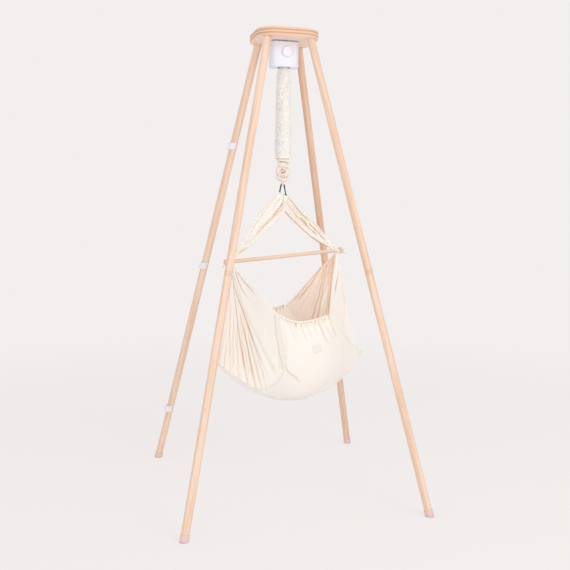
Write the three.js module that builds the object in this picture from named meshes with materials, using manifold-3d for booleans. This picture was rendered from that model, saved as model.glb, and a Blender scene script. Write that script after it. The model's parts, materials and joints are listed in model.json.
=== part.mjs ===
// Motorised baby hammock: a cloth cradle on a spring, hung from a four-legged wooden stand.
// Millimetres, +Z up. The origin is on the floor, midway between the four feet.
// +X runs along the spreader bar, and the control knob faces -Y.

import * as THREE from "three";
import { mergeVertices } from "three/addons/utils/BufferGeometryUtils.js";
import Module from "manifold-3d";

const wasm = await Module();
wasm.setup();

const { PI, cos, sin, sqrt, abs, asin, sign } = Math;
const degree = PI / 180;

// Gap between pieces that touch
const gap = 0.3;

// Facets round the legs, round turned metal pieces and round small bores
const legSides = 16;
const metalSides = 18;
const boreSides = 10;

// Stand: top board and legs. Everything under the board is measured down from its underside
const boardUnderside = 1880;
const boardSide = 260;
const boardCorner = 80;
const boardThickness = 31.6;
const boardEdge = 1.5;
const footSpread = 482;
const headSpread = 89;
const legRadius = 16;
const legSocketDepth = 22;
const legSplitShare = 0.50426;
const legChamfer = 1.2;
const studRadius = 5;
const studLength = 64;
const capHeight = 39;
const capWall = 2.4;
const capFloor = 3.6;

// Straps that hold a power lead against the back left leg
const leadStrapShares = { top: 0.77766, middle: 0.4984, bottom: 0.13351 };
const leadStrapWidth = 28;
const leadStrapThickness = 2.2;
const leadStrapTab = 6;

// Motor housing
const housingWidth = 116;
const housingDepth = 68;
const housingCorner = 15;
const housingHeight = 105;
const housingBottom = boardUnderside - housingHeight;
const housingWall = 2.5;
const housingEdge = 3;
const traySeamDrop = 18.4;
const traySeam = boardUnderside - traySeamDrop;
const trayLip = 6;
const mountPlateThickness = 3.2;
const mountPlateWidth = 94;
const mountPlateDepth = 48;
const openingRadius = 26;
const mountScrewRadius = 2.2;
const mountScrewHead = 4.5;
const mountScrewBite = 18;
const mountScrewX = 38;
const mountScrewY = 17;

// Control knob and circuit board
const knobX = 6;
const knobRadius = 21;
const knobDepth = 10;
const knobDrop = 46;
const knobHeight = boardUnderside - knobDrop;
const knobShaftRadius = 3;
const boardPanelWidth = 66;
const boardPanelHeight = 44;
const boardPanelThickness = 1.6;
const boardPanelStandoff = 6;
const inletRadius = 5.5;
const inletX = -36;
const inletRise = 21;
const inletHeight = housingBottom + inletRise;

// Lift drive: crank, yoke and guide
const crankDrop = 38;
const crankHeight = boardUnderside - crankDrop;
const crankThrow = 8;
const crankDiscRadius = 13;
const crankDiscThickness = 4;
const crankPinRadius = 3;
const crankShaftRadius = 3;
const yokeThickness = 5;
const yokeBorder = 5.5;
const slotPlay = 0.6;
const bracketThickness = 1.6;
const bracketWidth = 46;
const bracketDrop = 30;
const bracketFlange = crankHeight - bracketDrop;
const bracketReach = 13;
const gearboxWidth = 36;
const gearboxDepth = 18;
const motorRadius = 8.8;
const motorLength = 26;
const bushRadius = 5.8;
const bushLength = 8;
const rodRadius = 2.8;

// Chain from the lift rod to the spring
const yokeReach = 56;
const sidePivot = crankHeight - yokeReach;
const pivotSpacing = 22;
const frontPivot = sidePivot - pivotSpacing;
const eyeRadius = 7;
const eyeWire = 2.5;
const linkWire = 2.2;
const linkHalfWidth = 7;

// Spring and its cloth sleeve
const plugNeck = 17;
const springTop = frontPivot - plugNeck;
const springLength = 305;
const springBottom = springTop - springLength;
const springRadius = 11;
const springWire = 2;
const springTurns = 26;
const plugLength = 14;
const sleeveRise = 8;
const sleeveTop = housingBottom + sleeveRise;
const sleeveLength = 380;
const sleeveBottom = sleeveTop - sleeveLength;
const sleeveRadiusTop = 18.5;
const sleeveRadiusMiddle = 21.5;
const sleeveRadiusBottom = 24.5;
const sleeveWall = 1.8;

// Knotted cloth loop under the sleeve
const lowerEyeRadius = 10;
const lowerEyeDrop = 21;
const lowerEyeHeight = springBottom - lowerEyeDrop;
const loopRope = 5;
const knotDrop = 57;
const knotHeight = sleeveBottom - knotDrop;
const knotRadius = 18;
const knotRope = 9.5;
const neckDrop = 31;
const knotNeck = sleeveBottom - neckDrop;
const carryRope = 4.4;

// Carabiner
const carabinerDrop = 47;
const carabinerApex = knotHeight - carabinerDrop;
const carabinerTopRadius = 8;
const carabinerBottomRadius = 17;
const carabinerCentres = 46;
const carabinerWire = 3;
const gateLength = 27;
const gateWire = 2.4;
const gateHub = 3.4;
const gatePinRadius = 1.2;

// Cloth cradle, measured from the point where its straps hang, before it is tilted and turned
const hangDrop = 56;
const hangHeight = carabinerApex - hangDrop;
const cradleTilt = 4.1 * degree;
const cradleTurn = 13 * degree;
const barHalfLength = 286;
const barDrop = 248;
const barRadius = 8;
const clothThickness = 3;
const gatherScale = 0.06;
const mouthY = 190;
const mouthSag = 32;
const bellyDrop = 868;
const leftSeamSide = { x: 140, y: 194, drop: 690 };
const leftSeamLow = { x: 208, y: 108, drop: 772 };
const rightSeamSide = { x: 165, y: 174, drop: 588 };
const rightSeamLow = { x: 252, y: 102, drop: 655 };
const ends = {
  left: {
    side: -1,
    mouthX: 144,
    mouthDrop: 458,
    hipX: 345,
    hipDrop: 662,
    bellyArc: 40 * degree,
    fanBow: 0,
    seamSide: leftSeamSide,
    seamLow: leftSeamLow,
  },
  right: {
    side: 1,
    mouthX: 85,
    mouthDrop: 491,
    hipX: 354,
    hipDrop: 720,
    bellyArc: 68 * degree,
    fanBow: 22,
    seamSide: rightSeamSide,
    seamLow: rightSeamLow,
  },
};
const fanFolds = 10;
const fanFoldDepth = 7;
const mouthGathers = 5;
const mouthGatherDepth = 3;
const seamGap = 2.6;
const fanReach = 0.994;
const fanTuck = 0.04;
const hemRadius = 3.8;
const mattressThickness = 24;
const pouchCells = 18;
const mattressCellsAlong = 12;
const mattressCellsOver = 8;
const labelSide = 38;
const labelThickness = 0.8;

// Straps from the carabiner to the bar
const strapTopX = 7;
const strapTopRise = -19;
const strapTopWidth = 84;
const strapEndWidth = 28;
const strapHem = 5.5;
const straps = {
  left: { side: -1, middleWidth: 60, droopDepth: 18 },
  right: { side: 1, middleWidth: 50, droopDepth: 15 },
};
const strapTopThickness = 24;
const strapMiddleThickness = 13;
const strapPleats = 5;
const strapPleatDepth = 1.6;
const strapInset = 26;
const tieRadius = 3;
const tieInset = 7;
const tieTail = 22;

// Materials
const finish = (color, roughness, metalness = 0) =>
  new THREE.MeshStandardMaterial({ color, roughness, metalness });
const materials = {
  beech: () => finish(0xf0cfb2, 0.55),
  plywood: () => finish(0xe6c49c, 0.55),
  rubber: () => finish(0xe0c3b8, 0.5),
  webbing: () => finish(0xf0eef6, 0.8),
  shell: () => finish(0xf3f1f6, 0.35),
  steel: () => finish(0x9a9ca0, 0.35, 0.9),
  darkSteel: () => finish(0x5f5c5c, 0.3, 0.9),
  brass: () => finish(0xb99a58, 0.4, 0.9),
  circuit: () => finish(0x2f6b45, 0.6),
  blackPlastic: () => finish(0x26262a, 0.5),
  cloth: () => finish(0xf7f0e4, 0.9),
  sleeveCloth: () => finish(0xeae4df, 0.9),
  foam: () => finish(0xf4f0e8, 0.9),
};

const model = new THREE.Group();

/** Adds one piece, as a named mesh, to a group. */
function addPiece(name, geometry, material, parent = model) {
  const mesh = new THREE.Mesh(geometry, material());
  mesh.name = name;
  parent.add(mesh);
  return mesh;
}

/** Drops everything but position, merges shared corners and leaves out empty triangles. */
function welded(geometry) {
  const plain = geometry.index ? geometry.toNonIndexed() : geometry.clone();
  plain.deleteAttribute("normal");
  plain.deleteAttribute("uv");
  const merged = mergeVertices(plain, 1e-4);
  const index = merged.index.array;
  const kept = [];
  for (let i = 0; i < index.length; i += 3) {
    const [a, b, c] = [index[i], index[i + 1], index[i + 2]];
    if (a !== b && b !== c && c !== a) kept.push(a, b, c);
  }
  merged.setIndex(kept);
  return merged;
}

/** Turns a closed geometry into a solid that can be joined and cut. */
function solidOf(geometry) {
  const closed = welded(geometry);
  return new wasm.Manifold(new wasm.Mesh({
    numProp: 3,
    vertProperties: new Float32Array(closed.attributes.position.array),
    triVerts: new Uint32Array(closed.index.array),
  }));
}

/** Turns a solid back into a geometry. */
function geometryOf(solid) {
  const mesh = solid.getMesh();
  const geometry = new THREE.BufferGeometry();
  geometry.setAttribute("position", new THREE.BufferAttribute(new Float32Array(mesh.vertProperties), 3));
  geometry.setIndex(new THREE.BufferAttribute(new Uint32Array(mesh.triVerts), 1));
  geometry.computeVertexNormals();
  return geometry;
}

/** Joins the first geometry with more, cuts others from it and keeps the largest body. */
function shaped(base, { join = [], cut = [], keep = null }) {
  let solid = solidOf(base);
  for (const piece of join) solid = solid.add(solidOf(piece));
  for (const piece of cut) solid = solid.subtract(solidOf(piece));
  if (keep) solid = solid.intersect(solidOf(keep));
  const bodies = solid.decompose().sort((first, second) => second.volume() - first.volume());
  return geometryOf(bodies[0]);
}

/** Moves a geometry, turning it first about X, Y and Z in that order. */
function placed(geometry, [x, y, z], [turnX, turnY, turnZ] = [0, 0, 0]) {
  const turn = new THREE.Matrix4().makeRotationFromEuler(new THREE.Euler(turnX, turnY, turnZ, "ZYX"));
  return geometry.clone().applyMatrix4(turn.setPosition(x, y, z));
}

/** A round bar between two points. */
function rod(from, to, radius, sides = 20) {
  const start = new THREE.Vector3(...from);
  const way = new THREE.Vector3(...to).sub(start);
  const bar = new THREE.CylinderGeometry(radius, radius, way.length(), sides);
  bar.translate(0, way.length() / 2, 0);
  const turn = new THREE.Quaternion().setFromUnitVectors(new THREE.Vector3(0, 1, 0), way.normalize());
  return bar.applyQuaternion(turn).translate(start.x, start.y, start.z);
}

/** A block given by its lowest and highest corners. */
function block(low, high) {
  const size = high.map((value, axis) => value - low[axis]);
  return new THREE.BoxGeometry(...size).translate(...high.map((value, axis) => (value + low[axis]) / 2));
}

/** A turned solid whose profile lists [radius, distance along the axis]. */
function turned(profile, sides = 24) {
  return new THREE.LatheGeometry(profile.map(([radius, along]) => new THREE.Vector2(radius, along)), sides);
}

/** Makes a closed geometry from points and triangles, with its faces outward. */
function facing(points, triangles) {
  const geometry = new THREE.BufferGeometry().setFromPoints(points);
  let volume = 0;
  for (let i = 0; i < triangles.length; i += 3) {
    const [a, b, c] = [points[triangles[i]], points[triangles[i + 1]], points[triangles[i + 2]]];
    volume += a.dot(b.clone().cross(c));
  }
  geometry.setIndex(volume < 0 ? triangles.slice().reverse() : triangles);
  geometry.computeVertexNormals();
  return geometry;
}

/** Joins rings of equally many points; an open run of rings gets a flat face at each end. */
function lofted(rings, closed = false) {
  const count = rings[0].length;
  const points = rings.flat();
  const triangles = [];
  const last = closed ? rings.length : rings.length - 1;
  for (let ring = 0; ring < last; ring += 1) {
    const next = (ring + 1) % rings.length;
    for (let i = 0; i < count; i += 1) {
      const j = (i + 1) % count;
      const [a, b, c, d] = [ring * count + i, ring * count + j, next * count + j, next * count + i];
      triangles.push(a, b, c, a, c, d);
    }
  }
  if (!closed) {
    for (const [start, flipped] of [[0, true], [(rings.length - 1) * count, false]]) {
      const centre = points.length;
      const middle = new THREE.Vector3();
      for (let i = 0; i < count; i += 1) middle.add(points[start + i]);
      points.push(middle.divideScalar(count));
      for (let i = 0; i < count; i += 1) {
        const edge = [start + i, start + (i + 1) % count];
        if (flipped) edge.reverse();
        triangles.push(edge[0], edge[1], centre);
      }
    }
  }
  return facing(points, triangles);
}

/** Rings of a tube round a path of points; the reference direction must not lie along the path. */
function tubeRings(path, radius, sides, reference, closed = false) {
  return path.map((point, i) => {
    const before = path[closed ? (i + path.length - 1) % path.length : Math.max(i - 1, 0)];
    const after = path[closed ? (i + 1) % path.length : Math.min(i + 1, path.length - 1)];
    const along = after.clone().sub(before).normalize();
    const across = reference.clone().cross(along).normalize();
    const upward = along.clone().cross(across);
    return Array.from({ length: sides }, (unused, k) => {
      const angle = (2 * PI * k) / sides;
      return point.clone().addScaledVector(across, radius * cos(angle)).addScaledVector(upward, radius * sin(angle));
    });
  });
}

/** A round tube swept along a curve, with flat ends. */
function sweptTube(curve, radius, sides, steps) {
  const section = new THREE.Shape();
  for (let k = 0; k < sides; k += 1) {
    const angle = (2 * PI * k) / sides;
    const spot = [radius * cos(angle), radius * sin(angle)];
    if (k === 0) section.moveTo(...spot);
    else section.lineTo(...spot);
  }
  return new THREE.ExtrudeGeometry(section, { steps, bevelEnabled: false, extrudePath: curve });
}

/** The outline of a rectangle with round corners, as a ring of points at one height. */
function roundedRing(halfX, halfY, corner, height, perCorner = 5) {
  const ring = [];
  for (let quarter = 0; quarter < 4; quarter += 1) {
    const signX = quarter === 0 || quarter === 3 ? 1 : -1;
    const signY = quarter < 2 ? 1 : -1;
    for (let i = 0; i < perCorner; i += 1) {
      const angle = (quarter + i / (perCorner - 1)) * (PI / 2);
      const x = signX * (halfX - corner) + corner * cos(angle);
      const y = signY * (halfY - corner) + corner * sin(angle);
      ring.push(new THREE.Vector3(x, y, height));
    }
  }
  return ring;
}

/** A circle with as many points as a rounded rectangle's ring. */
function circleRing(radius, height, perCorner = 5) {
  const count = 4 * perCorner;
  return Array.from({ length: count }, (unused, i) => {
    const angle = (2 * PI * (i + 0.5)) / count - PI / count;
    return new THREE.Vector3(radius * cos(angle), radius * sin(angle), height);
  });
}

// Stand

const legLean = (footSpread - headSpread) / boardUnderside;
const legStretch = sqrt(1 + 2 * legLean * legLean);
const legTiltSine = (sqrt(2) * legLean) / legStretch;

/** The point on a leg's axis at a height. */
function legPoint(sideX, sideY, height) {
  const reach = footSpread - legLean * height;
  return new THREE.Vector3(sideX * reach, sideY * reach, height);
}

/** Places a piece that was turned about Y so that it runs up a leg from a height. */
function onLeg(geometry, sideX, sideY, height) {
  const base = legPoint(sideX, sideY, height);
  const way = legPoint(sideX, sideY, height + 1).sub(base).normalize();
  const turn = new THREE.Quaternion().setFromUnitVectors(new THREE.Vector3(0, 1, 0), way);
  return geometry.clone().applyQuaternion(turn).translate(base.x, base.y, base.z);
}

const legSplitHeight = legSplitShare * boardUnderside;
const legFootHeight = capFloor + legRadius * legTiltSine + gap;
const legHeadHeight = boardUnderside + legSocketDepth - legRadius * legTiltSine;
const splitHalfGap = gap / 2 / legStretch;
const lowerLegLength = (legSplitHeight - splitHalfGap - legFootHeight) * legStretch;
const upperLegLength = (legHeadHeight - legSplitHeight - splitHalfGap) * legStretch;
const studBoreRadius = studRadius + gap;
const studBoreDepth = studLength / 2 + gap;

/** Half a leg, with a blind bore for the joining stud at its start. */
function legHalf(length) {
  return turned([
    [0, studBoreDepth],
    [studBoreRadius, studBoreDepth],
    [studBoreRadius, 0],
    [legRadius - legChamfer, 0],
    [legRadius, legChamfer],
    [legRadius, length],
    [0, length],
  ], legSides);
}

function addStand() {
  const outline = new THREE.Shape();
  const half = boardSide / 2 - boardEdge;
  const corner = boardCorner - boardEdge;
  outline.moveTo(half - corner, -half);
  outline.absarc(half - corner, -half + corner, corner, -PI / 2, 0, false);
  outline.absarc(half - corner, half - corner, corner, 0, PI / 2, false);
  outline.absarc(-half + corner, half - corner, corner, PI / 2, PI, false);
  outline.absarc(-half + corner, -half + corner, corner, PI, 1.5 * PI, false);
  const blank = new THREE.ExtrudeGeometry(outline, {
    depth: boardThickness - 2 * boardEdge,
    bevelThickness: boardEdge,
    bevelSize: boardEdge,
    bevelSegments: 1,
    curveSegments: 8,
  }).translate(0, 0, boardUnderside + boardEdge);

  const sockets = [];
  const cornerNames = { front: -1, back: 1 };
  const sideNames = { left: -1, right: 1 };
  for (const [depthName, sideY] of Object.entries(cornerNames)) {
    for (const [sideName, sideX] of Object.entries(sideNames)) {
      const place = `${depthName}_${sideName}`;
      const socketStart = boardUnderside - 2 * legRadius;
      const socketLength = (legHeadHeight - socketStart) * legStretch + gap;
      const socket = turned([
        [0, 0],
        [legRadius + gap, 0],
        [legRadius + gap, socketLength],
        [0, socketLength],
      ], legSides);
      sockets.push(onLeg(socket, sideX, sideY, socketStart));

      const lower = legHalf(lowerLegLength).rotateX(PI).translate(0, lowerLegLength, 0);
      addPiece(`leg_lower_${place}`, onLeg(lower, sideX, sideY, legFootHeight), materials.beech);
      const upper = legHalf(upperLegLength);
      addPiece(`leg_upper_${place}`, onLeg(upper, sideX, sideY, legSplitHeight + splitHalfGap), materials.beech);

      const stud = new THREE.CylinderGeometry(studRadius, studRadius, studLength, boreSides);
      addPiece(`joint_stud_${place}`, onLeg(stud, sideX, sideY, legSplitHeight), materials.steel);

      const capOuter = legRadius + gap + capWall;
      const capDepth = 2 * capOuter * legTiltSine + capFloor;
      const cup = turned([
        [0, -capDepth],
        [capOuter, -capDepth],
        [capOuter + 0.6, 0],
        [capOuter, capHeight * legStretch - 1.5],
        [capOuter - 1.2, capHeight * legStretch],
        [legRadius + gap, capHeight * legStretch],
        [legRadius + gap, legFootHeight * legStretch - gap],
        [0, legFootHeight * legStretch - gap],
      ], legSides);
      const foot = legPoint(sideX, sideY, 0);
      const aboveFloor = block([foot.x - 60, foot.y - 60, 0], [foot.x + 60, foot.y + 60, 2 * capHeight]);
      addPiece(`foot_cap_${place}`, shaped(onLeg(cup, sideX, sideY, 0), { keep: aboveFloor }), materials.rubber);
    }
  }

  const screwHoles = mountScrewPlaces().map(([x, y]) => rod(
    [x, y, boardUnderside - 1],
    [x, y, boardUnderside + mountScrewBite + gap],
    mountScrewRadius + gap,
    boreSides,
  ));
  addPiece("top_board", shaped(blank, { cut: [...sockets, ...screwHoles] }), materials.plywood);
}

/** A closed band round the leg with a flat tab on its outer side, as a strap pulled tight. */
function addLeadStraps() {
  const inner = legRadius + gap;
  const outer = inner + leadStrapThickness;
  const band = new THREE.Shape();
  const tabHalf = 5;
  const tabAngle = asin(tabHalf / outer);
  band.absarc(0, 0, outer, tabAngle, 2 * PI - tabAngle, false);
  band.lineTo(outer + leadStrapTab, -tabHalf);
  band.lineTo(outer + leadStrapTab, tabHalf);
  band.holes.push(new THREE.Path().absarc(0, 0, inner, 0, 2 * PI, true));
  const form = new THREE.ExtrudeGeometry(band, {
    depth: leadStrapWidth,
    bevelEnabled: false,
    curveSegments: 9,
  });
  form.translate(0, 0, -leadStrapWidth / 2).rotateZ(PI * 0.94).rotateX(-PI / 2);
  for (const [place, share] of Object.entries(leadStrapShares)) {
    addPiece(`lead_strap_${place}`, onLeg(form, -1, 1, share * boardUnderside), materials.webbing);
  }
}

// Motor unit under the board

const halfWidth = housingWidth / 2;
const halfDepth = housingDepth / 2;
const trayTop = boardUnderside - gap - mountPlateThickness - gap;
const trayCeiling = trayTop - housingWall - 0.5;

function mountScrewPlaces() {
  const places = [];
  for (const x of [-mountScrewX, mountScrewX]) {
    for (const y of [-mountScrewY, mountScrewY]) places.push([x, y]);
  }
  return places;
}

function addHousing() {
  const wall = housingWall;
  const inset = (amount, height) => roundedRing(
    halfWidth - amount,
    halfDepth - amount,
    housingCorner - amount,
    height,
  );
  const coverTop = traySeam - gap;
  const shell = lofted([
    circleRing(openingRadius, housingBottom),
    inset(housingEdge, housingBottom),
    inset(housingEdge * 0.3, housingBottom + housingEdge * 0.3),
    inset(0, housingBottom + housingEdge),
    inset(0, coverTop),
    inset(wall, coverTop),
    inset(wall, housingBottom + wall + housingEdge * 0.4),
    inset(wall + housingEdge * 0.6, housingBottom + wall),
    circleRing(openingRadius, housingBottom + wall),
  ], true);
  const postBack = -halfDepth + wall + boardPanelStandoff;
  const posts = [];
  for (const x of [-1, 1]) {
    for (const z of [-1, 1]) {
      const spot = [x * (boardPanelWidth / 2 - 4), knobHeight + z * (boardPanelHeight / 2 - 4)];
      posts.push(rod([spot[0], -halfDepth + wall / 2, spot[1]], [spot[0], postBack, spot[1]], 2.6, boreSides));
    }
  }
  const shaftHole = rod(
    [knobX, -halfDepth - 2, knobHeight],
    [knobX, -halfDepth + wall + 1, knobHeight],
    knobShaftRadius + 0.6,
  );
  const inletHole = rod(
    [inletX, halfDepth - wall - 1, inletHeight],
    [inletX, halfDepth + 2, inletHeight],
    inletRadius + gap,
  );
  addPiece("motor_cover", shaped(shell, { join: posts, cut: [shaftHole, inletHole] }), materials.shell);

  const lip = wall + gap;
  const lipWall = 1.8;
  const tray = lofted([
    inset(housingEdge * 0.5, trayTop),
    inset(0, trayTop - housingEdge * 0.5),
    inset(0, traySeam),
    inset(lip, traySeam),
    inset(lip, traySeam - trayLip),
    inset(lip + lipWall, traySeam - trayLip),
    inset(lip + lipWall, trayCeiling),
  ]);
  const trayHoles = mountScrewPlaces().map(([x, y]) => rod(
    [x, y, trayCeiling - 1],
    [x, y, trayTop + 1],
    mountScrewRadius + gap,
    boreSides,
  ));
  addPiece("motor_tray", shaped(tray, { cut: trayHoles }), materials.shell);

  const plateBottom = trayTop + gap;
  const plate = lofted([
    roundedRing(mountPlateWidth / 2, mountPlateDepth / 2, 6, plateBottom, 4),
    roundedRing(mountPlateWidth / 2, mountPlateDepth / 2, 6, plateBottom + mountPlateThickness, 4),
  ]);
  const plateHoles = mountScrewPlaces().map(([x, y]) => rod(
    [x, y, plateBottom - 1],
    [x, y, plateBottom + mountPlateThickness + 1],
    mountScrewRadius + gap,
    boreSides,
  ));
  addPiece("mount_plate", shaped(plate, { cut: plateHoles }), materials.steel);

  const screwReach = boardUnderside + mountScrewBite - trayCeiling;
  const screwForm = turned([
    [0, -mountScrewHead * 0.7],
    [mountScrewHead * 0.8, -mountScrewHead * 0.7],
    [mountScrewHead, -mountScrewHead * 0.3],
    [mountScrewHead, -gap],
    [mountScrewRadius, -gap],
    [mountScrewRadius, screwReach - 4],
    [0, screwReach],
  ], boreSides).rotateX(PI / 2);
  mountScrewPlaces().forEach(([x, y], i) => {
    addPiece(`mount_screw_${i + 1}`, placed(screwForm, [x, y, trayCeiling]), materials.steel);
  });
}

function addControls() {
  const panelFront = -halfDepth + housingWall + boardPanelStandoff + gap;
  const panelBack = panelFront + boardPanelThickness;
  const knobBack = -halfDepth - gap;
  const shaftTip = knobBack - knobDepth * 0.6;
  const panel = block(
    [-boardPanelWidth / 2, panelFront, knobHeight - boardPanelHeight / 2],
    [boardPanelWidth / 2, panelBack, knobHeight + boardPanelHeight / 2],
  );
  const encoder = block(
    [knobX - 6, panelFront - 5, knobHeight - 6],
    [knobX + 6, panelFront + 0.5, knobHeight + 6],
  );
  const shaft = rod([knobX, shaftTip, knobHeight], [knobX, panelFront - 4, knobHeight], knobShaftRadius);
  const chip = block([14, panelBack - 0.2, knobHeight - 10], [26, panelBack + 2, knobHeight + 2]);
  const relay = block([-28, panelBack - 0.2, knobHeight - 14], [-14, panelBack + 7, knobHeight + 4]);
  addPiece("circuit_board", shaped(panel, { join: [encoder, shaft, chip, relay] }), materials.circuit);

  const bore = knobShaftRadius + gap;
  const boreDepth = knobDepth * 0.6 + gap;
  const knob = turned([
    [0, boreDepth],
    [bore, boreDepth],
    [bore, 0],
    [knobRadius, 0],
    [knobRadius, knobDepth * 0.72],
    [knobRadius - 0.8, knobDepth * 0.92],
    [knobRadius - 2.4, knobDepth],
    [knobRadius * 0.55, knobDepth - 0.7],
    [0, knobDepth - 1.1],
  ], 28).rotateX(PI);
  addPiece("control_knob", placed(knob, [knobX, knobBack, knobHeight]), materials.shell);

  const inlet = turned([
    [0, -9],
    [inletRadius, -9],
    [inletRadius, gap],
    [inletRadius + 2, gap],
    [inletRadius + 2, 1.4],
    [3.4, 1.4],
    [3.4, -7],
    [1.2, -7],
    [1.2, -0.5],
    [0, 0],
  ], 14);
  addPiece("power_inlet", placed(inlet, [inletX, halfDepth, inletHeight]), materials.blackPlastic);
}

// Lift drive inside the housing

const slotHalf = crankPinRadius + slotPlay;
const yokeHalfWidth = crankThrow + slotHalf + yokeBorder;
const yokeHalfHeight = slotHalf + yokeBorder;
const discFront = yokeThickness / 2 + 0.8;
const discBack = discFront + crankDiscThickness;
const bracketFront = discBack + 0.8;
const gearboxFront = bracketFront + bracketThickness + gap;
const gearboxBack = gearboxFront + gearboxDepth;
const bracketTop = trayCeiling - gap;

function addDrive() {
  const profile = new THREE.Shape([
    [-bracketReach, bracketTop],
    [-bracketReach, bracketTop - bracketThickness],
    [bracketFront, bracketTop - bracketThickness],
    [bracketFront, bracketFlange + bracketThickness],
    [-bracketReach, bracketFlange + bracketThickness],
    [-bracketReach, bracketFlange],
    [bracketFront + bracketThickness, bracketFlange],
    [bracketFront + bracketThickness, bracketTop],
  ].map(([y, z]) => new THREE.Vector2(y, z)));
  const bent = new THREE.ExtrudeGeometry(profile, { depth: bracketWidth, bevelEnabled: false });
  // The profile's plane is turned so that its first direction lies along Y and its second along Z
  bent.applyMatrix4(new THREE.Matrix4().set(
    0, 0, 1, -bracketWidth / 2,
    1, 0, 0, 0,
    0, 1, 0, 0,
    0, 0, 0, 1,
  ));
  const shaftHole = rod([0, bracketFront - 2, crankHeight], [0, bracketFront + 4, crankHeight], crankShaftRadius + 2);
  const bushHole = rod([0, 0, bracketFlange - 2], [0, 0, bracketFlange + 4], bushRadius + gap);
  addPiece("drive_bracket", shaped(bent, { cut: [shaftHole, bushHole] }), materials.steel);

  const rodBore = rodRadius + gap;
  const bushTop = bracketFlange + bracketThickness + gap + 2;
  const bush = turned([
    [rodBore, 0],
    [bushRadius, 0],
    [bushRadius, bushLength - 2],
    [bushRadius + 1.6, bushLength - 2],
    [bushRadius + 1.6, bushLength],
    [rodBore, bushLength],
    [rodBore, 0],
  ], metalSides).rotateX(PI / 2);
  addPiece("rod_bush", placed(bush, [0, 0, bushTop - bushLength]), materials.brass);

  const gearboxHalf = gearboxWidth / 2;
  const caseForm = lofted([
    roundedRing(gearboxHalf - 1, gearboxHalf - 1, 4, 0, 4),
    roundedRing(gearboxHalf, gearboxHalf, 5, 1, 4),
    roundedRing(gearboxHalf, gearboxHalf, 5, gearboxDepth - 1, 4),
    roundedRing(gearboxHalf - 1, gearboxHalf - 1, 4, gearboxDepth, 4),
  ]);
  const gearboxCase = placed(caseForm, [0, gearboxBack, crankHeight], [PI / 2, 0, 0]);
  const outputBore = rod(
    [0, gearboxFront - 1, crankHeight],
    [0, gearboxFront + gearboxDepth * 0.6 + gap, crankHeight],
    crankShaftRadius + gap,
  );
  addPiece("gearbox", shaped(gearboxCase, { cut: [outputBore] }), materials.steel);

  const motorY = (gearboxFront + gearboxBack) / 2;
  const motor = turned([
    [0, 0],
    [motorRadius - 3, 0],
    [motorRadius - 3, 2.5],
    [motorRadius - 0.8, 2.5],
    [motorRadius, 3.5],
    [motorRadius, motorLength - 2],
    [motorRadius - 1, motorLength - 1],
    [4, motorLength - 1],
    [4, motorLength],
    [0, motorLength],
  ], metalSides).rotateZ(-PI / 2);
  addPiece("drive_motor", placed(motor, [gearboxHalf + gap, motorY, crankHeight]), materials.steel);

  const disc = rod([0, discFront, crankHeight], [0, discBack, crankHeight], crankDiscRadius, 24);
  const shaft = rod(
    [0, discBack - 1, crankHeight],
    [0, gearboxFront + gearboxDepth * 0.6, crankHeight],
    crankShaftRadius,
  );
  const pin = rod(
    [crankThrow, -yokeThickness / 2 - 1, crankHeight],
    [crankThrow, discFront + 1, crankHeight],
    crankPinRadius,
    16,
  );
  addPiece("crank", shaped(disc, { join: [shaft, pin] }), materials.steel);

  const frame = lofted([
    roundedRing(yokeHalfWidth, yokeHalfHeight, 4, -yokeThickness / 2, 5),
    roundedRing(yokeHalfWidth, yokeHalfHeight, 4, yokeThickness / 2, 5),
  ]);
  const slot = lofted([
    roundedRing(crankThrow + slotHalf, slotHalf, slotHalf - 0.01, -yokeThickness, 5),
    roundedRing(crankThrow + slotHalf, slotHalf, slotHalf - 0.01, yokeThickness, 5),
  ]);
  const turnUp = [PI / 2, 0, 0];
  const eyeCentre = sidePivot + eyeRadius;
  const liftRod = rod(
    [0, 0, eyeCentre + eyeRadius],
    [0, 0, crankHeight - slotHalf - 1],
    rodRadius,
  );
  const eye = new THREE.TorusGeometry(eyeRadius, eyeWire, 8, 18);
  addPiece("lift_yoke", shaped(placed(frame, [0, 0, crankHeight], turnUp), {
    join: [liftRod, placed(eye, [0, 0, eyeCentre], [0, PI / 2, 0])],
    cut: [placed(slot, [0, 0, crankHeight], turnUp)],
  }), materials.steel);
}

// Link, spring plugs, spring and sleeve

/** An oval ring of round wire in the XZ plane. */
function ovalLink(halfWidth, bottom, top, wire) {
  const path = [];
  const halfSteps = 9;
  for (let i = 0; i <= halfSteps; i += 1) {
    const angle = (PI * i) / halfSteps;
    path.push(new THREE.Vector3(halfWidth * cos(angle), 0, top - halfWidth + halfWidth * sin(angle)));
  }
  for (let i = 0; i <= halfSteps; i += 1) {
    const angle = PI + (PI * i) / halfSteps;
    path.push(new THREE.Vector3(halfWidth * cos(angle), 0, bottom + halfWidth + halfWidth * sin(angle)));
  }
  return lofted(tubeRings(path, wire, 8, new THREE.Vector3(0, 1, 0), true), true);
}

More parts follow.
